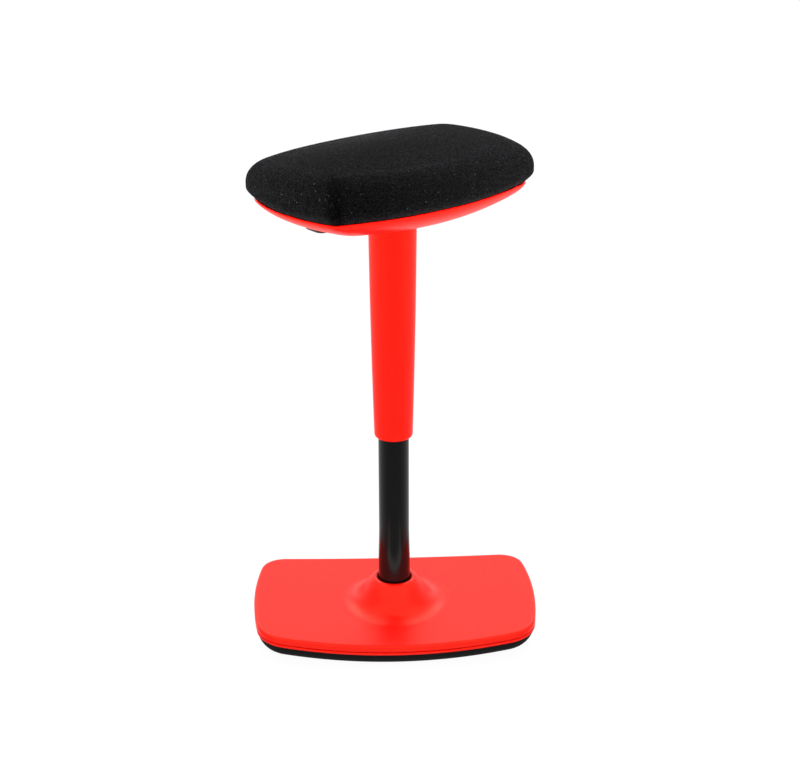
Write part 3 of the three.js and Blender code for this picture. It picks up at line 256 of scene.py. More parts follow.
class StoolLeverSettings(bpy.types.PropertyGroup):
    """Sizes of the height lever's paddle."""

    outline: PointerProperty(type=StoolOutlineSettings, name="Outline", description="Plan of the paddle")
    x: length("Across", "Middle of the paddle along the seat", -0.110)
    y: length("Forward", "Middle of the paddle across the seat", 0.034)
    edge: length("Edge rounding", "Radius of the paddle's edges", 0.003)
    inner_corner: length("Inner corner", "Tightest corner of the rounded edge", 0.002)
    edge_rise: length("Edge rise", "How much higher the outer edge is", 0.0015)
    turn: angle("Turn", "How far the lever is turned in the seat", 13)
    bar_width: length("Bar width", "Width of the bar in the paddle", 0.013)
    bar_thickness: length("Bar thickness", "Thickness of the bar in the paddle", 0.003)
    bar_end: length("Bar end", "From the column to the bar's end", 0.116)
    bar_start: length("Bar start", "From the column to where the bar runs level", 0.084)


class StoolColours(bpy.types.PropertyGroup):
    """Linear colours of the finishes."""

    red: colour("Red plastic", "Moulded base, sleeve and shell", (0.95, 0.0030, 0.0006))
    fabric: colour("Seat fabric", "Ground colour of the cover", (0.0011, 0.0011, 0.0012))
    fibre: colour("Light fibres", "Lighter threads of the cover", (0.0062, 0.0063, 0.0066))
    lint: colour("Lint", "Few fine light specks in the cover", (0.058, 0.060, 0.062))
    tube: colour("Painted steel", "Powder coat of the column", (0.0042, 0.0042, 0.0041))
    rubber: colour("Rubber", "Sole and bump stop", (0.0036, 0.0035, 0.0034))
    dark_plastic: colour("Black plastic", "Lever paddle and rod guide", (0.014, 0.014, 0.0145))
    steel: colour("Zinc-plated steel", "Plates, screws and bolts", (0.50, 0.51, 0.53))
    bright_steel: colour("Ground steel", "Rod, bearing and pin", (0.68, 0.69, 0.71))
    bush: colour("Bush plastic", "Natural acetal", (0.72, 0.70, 0.63))
    plywood: colour("Plywood", "Seat board", (0.52, 0.33, 0.16))
    foam: colour("Foam", "Seat padding", (0.78, 0.70, 0.42))


class StoolStageSettings(bpy.types.PropertyGroup):
    """Camera and light."""

    distance: length("Camera distance", "From the column to the camera, along the floor", 2.45)
    height: length("Camera height", "Height of the camera over the floor", 1.4314)
    heading: angle("Heading", "How far the camera stands to the left of straight ahead", -1.799)
    pan: angle("Pan", "How far the camera looks to the right of the column", 0.252)
    tilt: angle("Tilt", "How far the camera looks down", 22.082)
    roll: angle("Roll", "How far the camera leans", -0.206)
    lens: FloatProperty(name="Lens", description="Focal length", default=73.863, unit="CAMERA", min=1.0)
    sensor: FloatProperty(name="Sensor", description="Sensor width", default=36.0, unit="CAMERA", min=1.0)
    floor_radius: length("Floor radius", "Radius of the pale floor", 6.0)
    ambient: strength("Ambient", "Strength of the even light", 1.1)
    horizon: strength("Horizon", "Brightest level that the gloss mirrors", 1.35)
    ceiling: strength("Ceiling", "Level that the gloss mirrors from above", 3.0)
    dark_front: share("Dark front", "Share of the horizon that the gloss mirrors from the front", 0.3)
    key: strength("Key light", "Power of the overhead softbox", 20.0)
    side: strength("Side lights", "Power of each side softbox, which the gloss doesn't mirror", 12.0)
    beam: angle("Side beams", "Angle that the light of the side softboxes spreads over", 20.0)
    left: strength("Left glow", "Power of the left panel, which only the gloss mirrors", 10.0)
    right: strength("Right glow", "Power of the right panel, which only the gloss mirrors", 10.0)
    near_floor: strength("Near floor", "Power of the floor before the base, as the gloss mirrors it", 0.15)


class StoolSettings(bpy.types.PropertyGroup):
    """All settings of the stool."""

    base: PointerProperty(type=StoolBaseSettings, name="Base", description="Rocking base")
    column: PointerProperty(type=StoolColumnSettings, name="Column", description="Tube and sleeve")
    seat: PointerProperty(type=StoolSeatSettings, name="Seat", description="Shell and pad")
    lever: PointerProperty(type=StoolLeverSettings, name="Lever", description="Height lever")
    colours: PointerProperty(type=StoolColours, name="Colours", description="Finishes")
    stage: PointerProperty(type=StoolStageSettings, name="Stage", description="Camera and light")
    outline_steps: IntProperty(
        name="Outline steps", description="Points on each arc of a quarter outline", default=14, min=3
    )


# Plan outlines and rings


def arc(centre, radius, start, end, steps):
    """Points along an arc, without its last one."""
    points = []
    for i in range(steps):
        turn = start + (end - start) * i / steps
        points.append(Vector((centre.x + radius * math.cos(turn), centre.y + radius * math.sin(turn))))
    return points


def corner_centre(long_centre, long_reach, short_centre, short_reach):
    """Centre of the corner arc that touches both sides, in the quarter of +X and +Y."""
    across = short_centre - long_centre
    span = across.length
    along = (long_reach**2 - short_reach**2 + span**2) / (2 * span)
    aside = math.sqrt(max(long_reach**2 - along**2, 0))
    across.normalize()
    foot = long_centre + across * along
    normal = Vector((-across.y, across.x)) * aside
    return max(foot + normal, foot - normal, key=lambda point: point.x + point.y)


def bowed_outline(plan, inset, steps, tightest=0.0):
    """Closed outline of four bowed sides and four corners, moved inwards by inset."""
    long_arc, short_arc = plan.long_arc - inset, plan.short_arc - inset
    corner = max(plan.corner - inset, tightest)
    long_centre = Vector((0, plan.half_depth - plan.long_arc))
    short_centre = Vector((plan.half_width - plan.short_arc, 0))
    centre = corner_centre(long_centre, long_arc - corner, short_centre, short_arc - corner)
    short_end = math.atan2(centre.y - short_centre.y, centre.x - short_centre.x)
    long_end = math.atan2(centre.y - long_centre.y, centre.x - long_centre.x)
    quarter = arc(short_centre, short_arc, 0, short_end, steps)
    quarter += arc(centre, corner, short_end, long_end, steps)
    quarter += arc(long_centre, long_arc, long_end, math.pi / 2, steps)
    top = [Vector((0, plan.half_depth - inset))]
    left = [Vector((-p.x, p.y)) for p in reversed(quarter)]
    upper = quarter + top + left
    return upper + [Vector((p.x, -p.y)) for p in reversed(upper[1:-1])]


def outline(context, plan, inset, tightest=0.0):
    """Bowed outline with the stool's own number of points."""
    return bowed_outline(plan, inset, context.scene.stool.outline_steps, tightest)


def ring(points, height):
    """Outline lifted to a height, which may be a function of the place."""
    if callable(height):
        return [Vector((p.x, p.y, height(p))) for p in points]
    return [Vector((p.x, p.y, height)) for p in points]


def scaled(points, amount):
    """Outline drawn in towards the middle."""
    return [p * amount for p in points]


def circle_like(points, radius):
    """Circle whose points lie in the same directions as the outline's."""
    return [p.normalized() * radius for p in points]


def blended(first, second, amount):
    """Points that lie amount of the way from those of first to those of second."""
    return [a.lerp(b, amount) for a, b in zip(first, second)]


def bezier(points, steps):
    """Curve over its control points as a list of (x, y) pairs, both ends included."""
    made = []
    for i in range(steps + 1):
        level = [Vector(point) for point in points]
        while len(level) > 1:
            level = blended(level, level[1:], i / steps)
        made.append(level[0])
    return made


def quarter_turns(steps):
    """Angles from 0 to a quarter turn, both included."""
    return [math.pi / 2 * i / steps for i in range(steps + 1)]


def offset_curve(curve, amount):
    """Curve moved to its right by amount."""
    made = []
    for i, point in enumerate(curve):
        along = curve[min(i + 1, len(curve) - 1)] - curve[max(i - 1, 0)]
        along.normalize()
        made.append(point + amount * Vector((along.y, -along.x)))
    return made


# Mesh pieces


def mesh_piece(name, form):
    """New object whose mesh is form, a bmesh."""
    mesh = bpy.data.meshes.new(name)
    bmesh.ops.recalc_face_normals(form, faces=form.faces)
    form.to_mesh(mesh)
    form.free()
    piece = bpy.data.objects.new(name, mesh)
    bpy.context.scene.collection.objects.link(piece)
    return piece


def lofted(name, rings, start=None, end=None, open_skin=False):
    """Skin over rings. It is capped by the points start and end, left open, or closed on itself."""
    form = bmesh.new()
    loops = [[form.verts.new(point) for point in points] for points in rings]
    count = len(loops[0])
    pairs = list(zip(loops, loops[1:]))
    if start is None and not open_skin:
        pairs.append((loops[-1], loops[0]))
    for near, far in pairs:
        for i in range(count):
            form.faces.new((near[i], near[(i + 1) % count], far[(i + 1) % count], far[i]))
    for point, loop in ((start, loops[0]), (end, loops[-1])):
        if point is not None:
            apex = form.verts.new(point)
            for i in range(count):
                form.faces.new((loop[i], loop[(i + 1) % count], apex))
    return mesh_piece(name, form)


def turned(name, profile, sides=96):
    """Piece turned round Z from a closed profile of (radius, height) points off the axis."""
    rings = []
    for radius, height in profile:
        turns = [2 * math.pi * i / sides for i in range(sides)]
        rings.append([Vector((radius * math.cos(t), radius * math.sin(t), height)) for t in turns])
    return lofted(name, rings)


def upright(form, radius, bottom, top, x, y, sides=32):
    """Adds a closed upright cylinder to form."""
    place = Matrix.Translation((x, y, (bottom + top) / 2))
    bmesh.ops.create_cone(
        form, cap_ends=True, segments=sides, radius1=radius, radius2=radius, depth=top - bottom, matrix=place
    )


def combine(piece, tool, operation):
    """Joins the form tool to the piece or cuts it from the piece, and leaves a plain mesh."""
    helper = mesh_piece(piece.name + "_tool", tool)
    modifier = piece.modifiers.new("Shape", "BOOLEAN")
    modifier.operation = operation
    modifier.solver = "EXACT"
    modifier.use_self = True
    modifier.object = helper
    apply_modifiers(piece)
    bpy.data.objects.remove(helper)


def apply_modifiers(piece):
    """Makes what the modifiers show the piece's own mesh."""
    bpy.context.view_layer.update()
    shown = piece.evaluated_get(bpy.context.evaluated_depsgraph_get())
    made = bpy.data.meshes.new_from_object(shown)
    piece.modifiers.clear()
    piece.data = made


def smooth(piece, sharp_degrees=38):
    """Shades the piece smooth and keeps its edges sharp from an angle on."""
    piece.data.shade_smooth()
    piece.data.set_sharp_from_angle(angle=math.radians(sharp_degrees))


def finish_piece(piece, material, body, nodes):
    """Smooths the piece, gives it its material, rides it on its body and lets it stand for its CAD nodes."""
    smooth(piece)
    piece.data.materials.clear()
    piece.data.materials.append(material)
    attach(piece, body)
    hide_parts(*nodes)


def node_centre(name):
    low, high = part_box(name)
    return (low + high) / 2


# Materials


def spread(nodes, links, value, low, high, to_low, to_high):
    """Value from the range low to high, spread over to_low to to_high."""
    node = nodes.new("ShaderNodeMapRange")
    node.inputs["From Min"].default_value = low
    node.inputs["From Max"].default_value = high
    node.inputs["To Min"].default_value = to_low
    node.inputs["To Max"].default_value = to_high
    links.new(value, node.inputs["Value"])
    return node.outputs["Result"]


class Surface:
    """Principled material: even values on the shader's own sockets, and noise that varies them."""

    def __init__(self, name, colour, roughness, metallic=0.0, specular=0.5):
        self.material = bpy.data.materials.new(name)
        self.material.use_nodes = True
        self.nodes, self.links = self.material.node_tree.nodes, self.material.node_tree.links
        self.colour = colour
        self.sockets = self.nodes["Principled BSDF"].inputs
        self.sockets["Base Color"].default_value = (*colour, 1)
        self.sockets["Roughness"].default_value = roughness
        self.sockets["Metallic"].default_value = metallic
        self.sockets["Specular IOR Level"].default_value = specular

    def noise(self, scale, detail=2.0, roughness=0.5, stretch=(1, 1, 1)):
        """Noise in object coordinates, at so many spots per metre."""
        place = self.nodes.new("ShaderNodeTexCoord")
        mapping = self.nodes.new("ShaderNodeMapping")
        mapping.inputs["Scale"].default_value = stretch
        texture = self.nodes.new("ShaderNodeTexNoise")
        texture.inputs["Scale"].default_value = scale
        texture.inputs["Detail"].default_value = detail
        texture.inputs["Roughness"].default_value = roughness
        self.links.new(place.outputs["Object"], mapping.inputs["Vector"])
        self.links.new(mapping.outputs["Vector"], texture.inputs["Vector"])
        return texture.outputs["Fac"]

    def spread(self, value, low, high, to_low, to_high):
        return spread(self.nodes, self.links, value, low, high, to_low, to_high)

    def mixed(self, value, first, second):
        """Colour that goes from first to second with value. Each may be a colour or a socket."""
        node = self.nodes.new("ShaderNodeMix")
        node.data_type = "RGBA"
        for name, tone in (("A", first), ("B", second)):
            if isinstance(tone, bpy.types.NodeSocket):
                self.links.new(tone, node.inputs[name])
            else:
                node.inputs[name].default_value = (*tone, 1)
        self.links.new(value, node.inputs["Factor"])
        return node.outputs["Result"]

    def drive(self, socket, value):
        self.links.new(value, self.sockets[socket])

    def tint(self, value, low, high):
        """Lets value take the colour from low to high times its own."""
        tones = [tuple(channel * amount for channel in self.colour) for amount in (low, high)]
        self.drive("Base Color", self.mixed(value, *tones))

    def polish(self, value, low, high):
        """Lets the middle of a noise take the roughness from low to high."""
        self.drive("Roughness", self.spread(value, 0.3, 0.7, low, high))

    def bump(self, height, strength, distance):
        """Adds a fine relief that rises by distance where height is 1."""
        node = self.nodes.new("ShaderNodeBump")
        node.inputs["Strength"].default_value = strength
        node.inputs["Distance"].default_value = distance
        self.links.new(height, node.inputs["Height"])
        self.drive("Normal", node.outputs["Normal"])


def red_plastic(colours):
    """Satin moulded plastic with a fine spark-eroded grain."""
    surface = Surface("Red moulded plastic", colours.red, 0.33, specular=0.22)
    surface.sockets["Specular Tint"].default_value = (1, 1, 0.6, 1)
    surface.tint(surface.noise(9, detail=3), 0.985, 1)
    surface.polish(surface.noise(60, detail=4), 0.3, 0.36)
    surface.bump(surface.noise(1100, detail=1), 0.03, 0.1 * MM)
    return surface.material


def seat_fabric(colours):
    """Felted black cloth: a dull ground, light fibres, a few specks of lint and a soft nap."""
    surface = Surface("Black felted cloth", colours.fabric, 0.95, specular=0.02)
    surface.sockets["Sheen Roughness"].default_value = 0.45
    surface.sockets["Sheen Tint"].default_value = (0.88, 0.90, 0.94, 1)
    fibres = surface.noise(420, detail=2, roughness=0.6)
    light = surface.spread(fibres, 0.42, 0.76, 0, 1)
    threads = surface.mixed(light, colours.fabric, colours.fibre)
    specks = surface.spread(surface.noise(380, detail=1), 0.72, 0.8, 0, 1)
    surface.drive("Base Color", surface.mixed(specks, threads, colours.lint))
    surface.drive("Sheen Weight", surface.spread(fibres, 0.44, 0.64, 0, 0.034))
    surface.bump(surface.noise(450, detail=4, roughness=0.7), 0.05, 0.8 * MM)
    return surface.material


def painted_steel(colours):
    """Black powder coat with a faint orange peel."""
    surface = Surface("Black powder coat", colours.tube, 0.17, specular=0.38)
    surface.polish(surface.noise(90, detail=3), 0.15, 0.19)
    surface.bump(surface.noise(700, detail=2), 0.04, 0.15 * MM)
    return surface.material


def rubber(colours):
    """Dull moulded rubber with a fine grain."""
    surface = Surface("Black rubber", colours.rubber, 0.72, specular=0.12)
    surface.tint(surface.noise(35, detail=5), 0.8, 1.3)
    surface.bump(surface.noise(1500, detail=3), 0.25, 0.3 * MM)
    return surface.material


def dark_plastic(colours):
    """Grained black plastic."""
    surface = Surface("Black grained plastic", colours.dark_plastic, 0.48)
    surface.polish(surface.noise(120, detail=3), 0.44, 0.54)
    surface.bump(surface.noise(1800, detail=2), 0.2, 0.25 * MM)
    return surface.material


def plated_steel(colours):
    """Zinc-plated steel, slightly clouded."""
    surface = Surface("Zinc-plated steel", colours.steel, 0.38, metallic=1.0)
    cloud = surface.noise(140, detail=5)
    surface.tint(cloud, 0.82, 1.1)
    surface.polish(cloud, 0.32, 0.46)
    surface.bump(surface.noise(900, detail=3), 0.08, 0.2 * MM)
    return surface.material


def ground_steel(colours):
    """Ground steel with fine marks round its axis."""
    surface = Surface("Ground steel", colours.bright_steel, 0.2, metallic=1.0)
    marks = surface.noise(40, detail=4, stretch=(1, 1, 60))
    surface.polish(marks, 0.14, 0.27)
    surface.bump(marks, 0.05, 0.1 * MM)
    return surface.material


def bush_plastic(colours):
    """Natural acetal with a waxy surface."""
    surface = Surface("Natural acetal", colours.bush, 0.4)
    surface.tint(surface.noise(50, detail=3), 0.93, 1)
    surface.bump(surface.noise(1200), 0.06, 0.2 * MM)
    return surface.material


def plywood(colours):
    """Plywood: grain along the board, and plies that show on the edge."""
    surface = Surface("Birch plywood", colours.plywood, 0.62)
    grain = surface.noise(24, detail=6, roughness=0.65, stretch=(1, 9, 60))
    surface.tint(grain, 0.68, 1.2)
    surface.bump(grain, 0.15, 0.4 * MM)
    return surface.material


def open_foam(colours):
    """Moulded foam with open pores."""
    surface = Surface("Moulded foam", colours.foam, 0.92)
    pores = surface.noise(700, detail=4, roughness=0.7)
    surface.tint(pores, 0.72, 1.08)
    surface.bump(pores, 0.5, 0.6 * MM)
    return surface.material


FINISHES = {
    "red": red_plastic,
    "fabric": seat_fabric,
    "tube": painted_steel,
    "rubber": rubber,
    "dark_plastic": dark_plastic,
    "steel": plated_steel,
    "bright_steel": ground_steel,
    "bush": bush_plastic,
    "plywood": plywood,
    "foam": open_foam,
}

# Materials that are already made, by the name of their finish
MADE_FINISHES = {}


def finish(context, name):
    """The named finish, made once."""
    if name not in MADE_FINISHES:
        MADE_FINISHES[name] = FINISHES[name](context.scene.stool.colours)
    return MADE_FINISHES[name]


# Shapes of the base


def end_rise(base):
    """How far the base rises at a place along X."""
    return lambda point: base.end_lift * (point.x / base.outline.half_width) ** 2


def base_ring(context, inset, height):
    """Outline of the base moved in by inset, whose height is that of its middle."""
    base = context.scene.stool.base
    rise = end_rise(base)
    return ring(outline(context, base.outline, inset), lambda p: height + rise(p))


def dome_rings(context, depth):
    """Rings of a layer of the dome that lies depth inside the sole's outer face."""
    base = context.scene.stool.base
    rise = end_rise(base)
    edge = outline(context, base.outline, base.dome_inset + depth)
    made = []
    for amount in DOME_SHARES:
        lift = depth + base.dome_rise * amount**2
        made.append(ring(scaled(edge, amount), lambda p, lift=lift: lift + rise(p)))
    return made


def side_rings(context, depth, top, steps=8):
    """Rings from the dome's edge, round the turn and up to the height top."""
    base = context.scene.stool.base
    points = [
        (base.dome_inset + depth, base.dome_rise + depth),
        (base.turn_inset + depth, base.dome_rise + depth),
        (base.sole_inset + depth, top),
    ]
    return [base_ring(context, p.x, p.y) for p in bezier(points, steps)[1:]]


def rounded_lip(context, radius, height, upwards, steps=4):
    """Quarter-round edge of the base's side, which starts on the side at height and goes up or down."""
    direction = 1 if upwards else -1
    made = []
    for turn in quarter_turns(steps):
        level = height + direction * radius * math.sin(turn)
        made.append(base_ring(context, radius * (1 - math.cos(turn)), level))
    return made


def screw_places(prefix):
    """Middles of the four CAD screws of one kind."""
    return [node_centre(f"{prefix}_{i}") for i in range(1, 5)]


def head_radius(prefix):
    """Radius of the heads of one kind of CAD screw."""
    low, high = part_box(f"{prefix}_1")
    return (high.x - low.x) / 2


class STOOL_OT_sole(bpy.types.Operator):
    """Model the rubber sole with its dome and screw holes"""

    bl_idname = "stool.sole"
    bl_label = "Sole"

    def execute(self, context):
        base = context.scene.stool.base
        lip = base.lip_bottom - CLEARANCE
        foot = outline(context, base.outline, base.dome_inset)
        rings = [ring(scaled(foot, base.foot_share), 0)]
        rings += dome_rings(context, 0)
        rings += side_rings(context, 0, lip)
        rings += side_rings(context, base.sole_skin, lip, 6)[::-1]
        rings += dome_rings(context, base.sole_skin)[::-1]
        sole = lofted("rubber_sole", rings, Vector((0, 0, 0)), Vector((0, 0, base.sole_skin)))
        holes = bmesh.new()
        for prefix in PAN_POSTS:
            for place in screw_places(prefix):
                upright(holes, head_radius(prefix) + 2 * CLEARANCE, -base.wall, base.top, place.x, place.y)
        combine(sole, holes, "DIFFERENCE")
        finish_piece(sole, finish(context, "rubber"), "base", ["sole"])
        return {"FINISHED"}


class STOOL_OT_base_pan(bpy.types.Operator):
    """Model the lower moulding of the base, whose rim is the band over the sole"""

    bl_idname = "stool.base_pan"
    bl_label = "Base pan"

    def execute(self, context):
        base = context.scene.stool.base
        depth = base.sole_skin + CLEARANCE
        inner = depth + base.wall
        bottom, top = base.lip_bottom, base.seam - base.seam_gap
        rounding = base.groove_round
        rings = dome_rings(context, depth)
        rings += side_rings(context, depth, bottom, 6)
        rings += rounded_lip(context, rounding, bottom + rounding, False)[::-1]
        rings += rounded_lip(context, rounding, top - rounding, True)
        rings.append(base_ring(context, base.wall + CLEARANCE, top))
        rings.append(base_ring(context, base.wall + CLEARANCE, top + base.tongue))
        rings += side_rings(context, inner, bottom + base.wall, 6)[::-1]
        rings += dome_rings(context, inner)[::-1]
        pan = lofted("base_pan_moulding", rings, Vector((0, 0, depth)), Vector((0, 0, inner)))
        self.add_posts(context, pan)
        finish_piece(pan, finish(context, "red"), "base", ["base_pan"])
        return {"FINISHED"}

    def add_posts(self, context, pan):
        """Hollow posts for the screws, as the CAD pan has them."""
        base = context.scene.stool.base
        rise = end_rise(base)
        posts, bores = bmesh.new(), bmesh.new()
        for prefix, (outer, web) in PAN_POSTS.items():
            head = head_radius(prefix) + 2 * CLEARANCE
            shank = SHANK_RADII[prefix] + CLEARANCE
            for index, place in enumerate(screw_places(prefix), start=1):
                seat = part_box(f"{prefix}_{index}")[0].z + HEAD_HEIGHTS[prefix] + CLEARANCE
                floor = rise(place) + base.sole_skin + base.wall
                upright(posts, outer, floor, seat + web, place.x, place.y)
                upright(bores, head, -base.wall, seat, place.x, place.y)
                upright(bores, shank, -base.wall, seat + 2 * web, place.x, place.y)
        combine(pan, posts, "UNION")
        combine(pan, bores, "DIFFERENCE")


class STOOL_OT_base_cover(bpy.types.Operator):
    """Model the upper moulding of the base with its flared collar"""

    bl_idname = "stool.base_cover"
    bl_label = "Base cover"

    def execute(self, context):
        base = context.scene.stool.base
        rise = end_rise(base)
        edge = outline(context, base.outline, base.edge_round)
        bore, rim = base.collar_bore, base.collar_bore + base.collar_rim
        foot = rim + base.collar_flare
        bore_bottom = base.collar_height - base.bore_depth
        plate_steps = 12

        def circle(point):
            amount = max(0.0, (point[0] - rim) / base.collar_flare)
            return ring(circle_like(edge, point[0]), lambda p: point[1] + rise(p) * amount)

        def plate(amount):
            return ring(blended(circle_like(edge, foot), edge, amount), lambda p: base.top + rise(p))

        lip, flank = self.collar_profile(base, bore, rim, foot)
        rings = [circle((bore, bore_bottom))]
        rings += [circle(point) for point in lip + flank[1:]]
        rings += [plate(i / plate_steps) for i in range(1, plate_steps + 1)]
        rings += rounded_lip(context, base.edge_round, base.top - base.edge_round, True, 8)[-2::-1]
        rings += rounded_lip(context, base.groove_round, base.seam + base.groove_round, False)
        rings.append(base_ring(context, base.wall, base.seam))
        rings.append(base_ring(context, base.wall, base.top - base.edge_round))
        rings.append(base_ring(context, base.wall + base.edge_round / 2, base.top - base.wall))
        # The inner face follows every third point of the flank up to its steep end
        rings += [circle(point) for point in offset_curve(flank, base.wall)[:5:-3]]
        rings.append(circle((bore + base.wall, bore_bottom)))
        cover = lofted("base_cover_moulding", rings)
        self.add_bosses(context, cover)
        finish_piece(cover, finish(context, "red"), "base", ["base_cover"])
        return {"FINISHED"}

    def collar_profile(self, base, bore, rim, foot):
        """Rounded rim and flank of the collar, as curves of (radius, height)."""
        shoulder = base.collar_height - base.collar_lip
        # Handles of 4/3 of the lip's height make the curve reach just that height
        reach = base.collar_lip * 4 / 3
        over = shoulder + reach
        lip = bezier([(bore, shoulder), (bore, over), (rim - reach, over), (rim, shoulder)], 8)
        neck = (rim + base.neck_out, shoulder - base.neck_down)
        heel = (foot - base.foot_in, base.top + base.foot_up)
        return lip, bezier([(rim, shoulder), neck, heel, (foot, base.top)], 24)

    def add_bosses(self, context, cover):
        """Bosses under the cover that the screws bite into."""
        base = context.scene.stool.base
        rise = end_rise(base)
        web = PAN_POSTS["cover_screw"][1]
        bosses, pilots = bmesh.new(), bmesh.new()
        for index, place in enumerate(screw_places("cover_screw"), start=1):
            low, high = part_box(f"cover_screw_{index}")
            bottom = low.z + HEAD_HEIGHTS["cover_screw"] + web + 2 * CLEARANCE
            upright(bosses, COVER_BOSS, bottom, base.top - base.wall / 2 + rise(place), place.x, place.y)
            upright(pilots, COVER_PILOT, bottom - base.wall, high.z + PILOT_TIP, place.x, place.y)
        combine(cover, bosses, "UNION")
        combine(cover, pilots, "DIFFERENCE")


class STOOL_OT_stand_tube(bpy.types.Operator):
    """Model the black stand tube with its belled foot"""

    bl_idname = "stool.stand_tube"
    bl_label = "Stand tube"

    def execute(self, context):
        column = context.scene.stool.column
        steps = 24
        outer = [(column.bell_radius, TUBE_LOW.z), (column.bell_radius, column.bell_top)]
        for i in range(1, steps + 1):
            amount = i / steps
            # From 0 to 1 without a kink at either end
            ease = amount * amount * (3 - 2 * amount)
            radius = column.bell_radius - (column.bell_radius - column.tube_radius) * ease
            outer.append((radius, column.bell_top + (column.neck - column.bell_top) * amount))
        outer.append((column.tube_radius, TUBE_HIGH.z))
        inner = [(radius - column.tube_wall, height) for radius, height in reversed(outer)]
        tube = turned("stand_tube_steel", outer + inner)
        finish_piece(tube, finish(context, "tube"), "base", ["stand_tube"])
        return {"FINISHED"}


class STOOL_OT_column_sleeve(bpy.types.Operator):
    """Model the tapered sleeve that slides over the stand tube"""

    bl_idname = "stool.column_sleeve"
    bl_label = "Column sleeve"

    def execute(self, context):
        column = context.scene.stool.column
        bottom, top = SLEEVE_LOW.z, SHELL_LOW.z - CLEARANCE
        middle = (column.sleeve_rim + column.sleeve_top) / 2 + column.sleeve_bow
        start, end = (column.sleeve_rim, bottom + column.lip), (column.sleeve_top, top)
        side = bezier([start, (middle, (bottom + top) / 2), end], 32)
        profile = []
        for turn in quarter_turns(7)[:-1]:
            radius = column.sleeve_rim - column.lip_in * (1 - math.sin(turn))
            profile.append((radius, bottom + column.lip * (1 - math.cos(turn))))
        profile += [(p.x, p.y) for p in side]
        profile += self.spigot(column, top)
        ceiling = top - column.sleeve_wall
        # The inner face follows every fourth point of the outer one
        profile += [(p.x - column.sleeve_wall, min(p.y, ceiling)) for p in reversed(side[::4])]
        profile.append((column.sleeve_rim - column.sleeve_wall, bottom + column.inner_lip))
        sleeve = turned("column_sleeve_moulding", profile)
        finish_piece(sleeve, finish(context, "red"), "seat", ["column_sleeve"])
        return {"FINISHED"}

    def spigot(self, column, top):
        """Neck that stands up through the shell, with the groove of its snap ring."""
        radius, groove = column.spigot, column.ring_groove
        floor = SHELL_LOW.z + column.spigot_floor
        bore = column.sleeve_top - 2 * column.sleeve_wall
        return [
            (radius, top),
            (radius, floor),
            (groove, floor),
            (groove, floor + column.ring_width),
            (radius, floor + column.ring_width),
            (radius, SLEEVE_HIGH.z),
            (bore, SLEEVE_HIGH.z),
            (bore, top - column.sleeve_wall),
        ]


# Shapes of the seat


def seat_turn(context):
    """Turn of the seat on the column."""
    return Matrix.Rotation(context.scene.stool.seat.turn, 4, "Z")


def lever_turn(context):
    """Turn of the height lever, which points away from the seat's middle along its own -X."""
    return seat_turn(context) @ Matrix.Rotation(-context.scene.stool.lever.turn, 4, "Z")


def shell_side(context, offset, turns):
    """Rings of the shell's side, from the rim down to the flat bottom."""
    seat = context.scene.stool.seat
    rim = outline(context, seat.outline, seat.rim_inset + offset)
    rim_x = seat.outline.half_width - seat.rim_inset - offset
    rim_y = seat.outline.half_depth - seat.rim_inset - offset
    depth = SHELL_HIGH.z - CLEARANCE - SHELL_LOW.z - offset
    bottom = []
    for point in rim:
        square = Vector((point.x / rim_x, point.y / rim_y))
        unit = square.normalized().lerp(square, seat.squareness)
        bottom.append(Vector((unit.x * seat.bottom_width, unit.y * seat.bottom_depth)))
    power = 2 / seat.fullness
    made = []
    for turn in turns:
        amount = 1 - max(0.0, math.cos(turn)) ** power
        height = SHELL_HIGH.z - CLEARANCE - depth * math.sin(turn) ** power
        made.append(ring(blended(rim, bottom, min(1.0, amount)), height))
    return made


class STOOL_OT_seat_shell(bpy.types.Operator):
    """Model the dished shell under the pad"""

    bl_idname = "stool.seat_shell"
    bl_label = "Seat shell"

    def execute(self, context):
        seat = context.scene.stool.seat
        # From just under the rim, every four degrees, to the flat bottom
        turns = [math.radians(degrees) for degrees in range(2, 90, 4)] + [math.pi / 2]
        middle = outline(context, seat.outline, seat.rim_inset + seat.shell_wall / 2)
        rings = shell_side(context, seat.shell_wall, turns[::2])[::-1]
        rings.append(ring(middle, SHELL_HIGH.z))
        rings += shell_side(context, 0, turns)
        low = Vector((0, 0, SHELL_LOW.z))
        shell = lofted("seat_shell_moulding", rings, low + Vector((0, 0, seat.shell_wall)), low)
        shell.data.transform(seat_turn(context))
        self.add_posts(context, shell)
        finish_piece(shell, finish(context, "red"), "seat", ["seat_shell"])
        return {"FINISHED"}

    def add_posts(self, context, shell):
        """Screw posts up to the board, the hole for the sleeve and the lever's slot."""
        seat = context.scene.stool.seat
        posts, bores = bmesh.new(), bmesh.new()
        top = BOARD_LOW.z - CLEARANCE
        for place in screw_places("shell_screw"):
            upright(posts, SHELL_POST, SHELL_LOW.z + seat.shell_wall - CLEARANCE, top, place.x, place.y)
            upright(bores, SHELL_HEAD_BORE, SHELL_LOW.z - seat.shell_wall, top - SHELL_WEB, place.x, place.y)
            upright(bores, SHELL_SHANK_BORE, SHELL_LOW.z, top + seat.shell_wall, place.x, place.y)
        under, over = SHELL_LOW.z - seat.shell_wall, SHELL_LOW.z + 2 * seat.shell_wall
        upright(bores, seat.sleeve_hole, under, over, 0, 0, sides=96)
        size = Matrix.Diagonal((seat.slot_length, seat.slot_width, 4 * seat.shell_wall, 1))
        middle = -seat.slot_start - seat.slot_length / 2
        place = Matrix.Translation((middle, 0, SHELL_LOW.z + seat.shell_wall / 2))
        bmesh.ops.create_cube(bores, size=1, matrix=lever_turn(context) @ place @ size)
        combine(shell, posts, "UNION")
        combine(shell, bores, "DIFFERENCE")


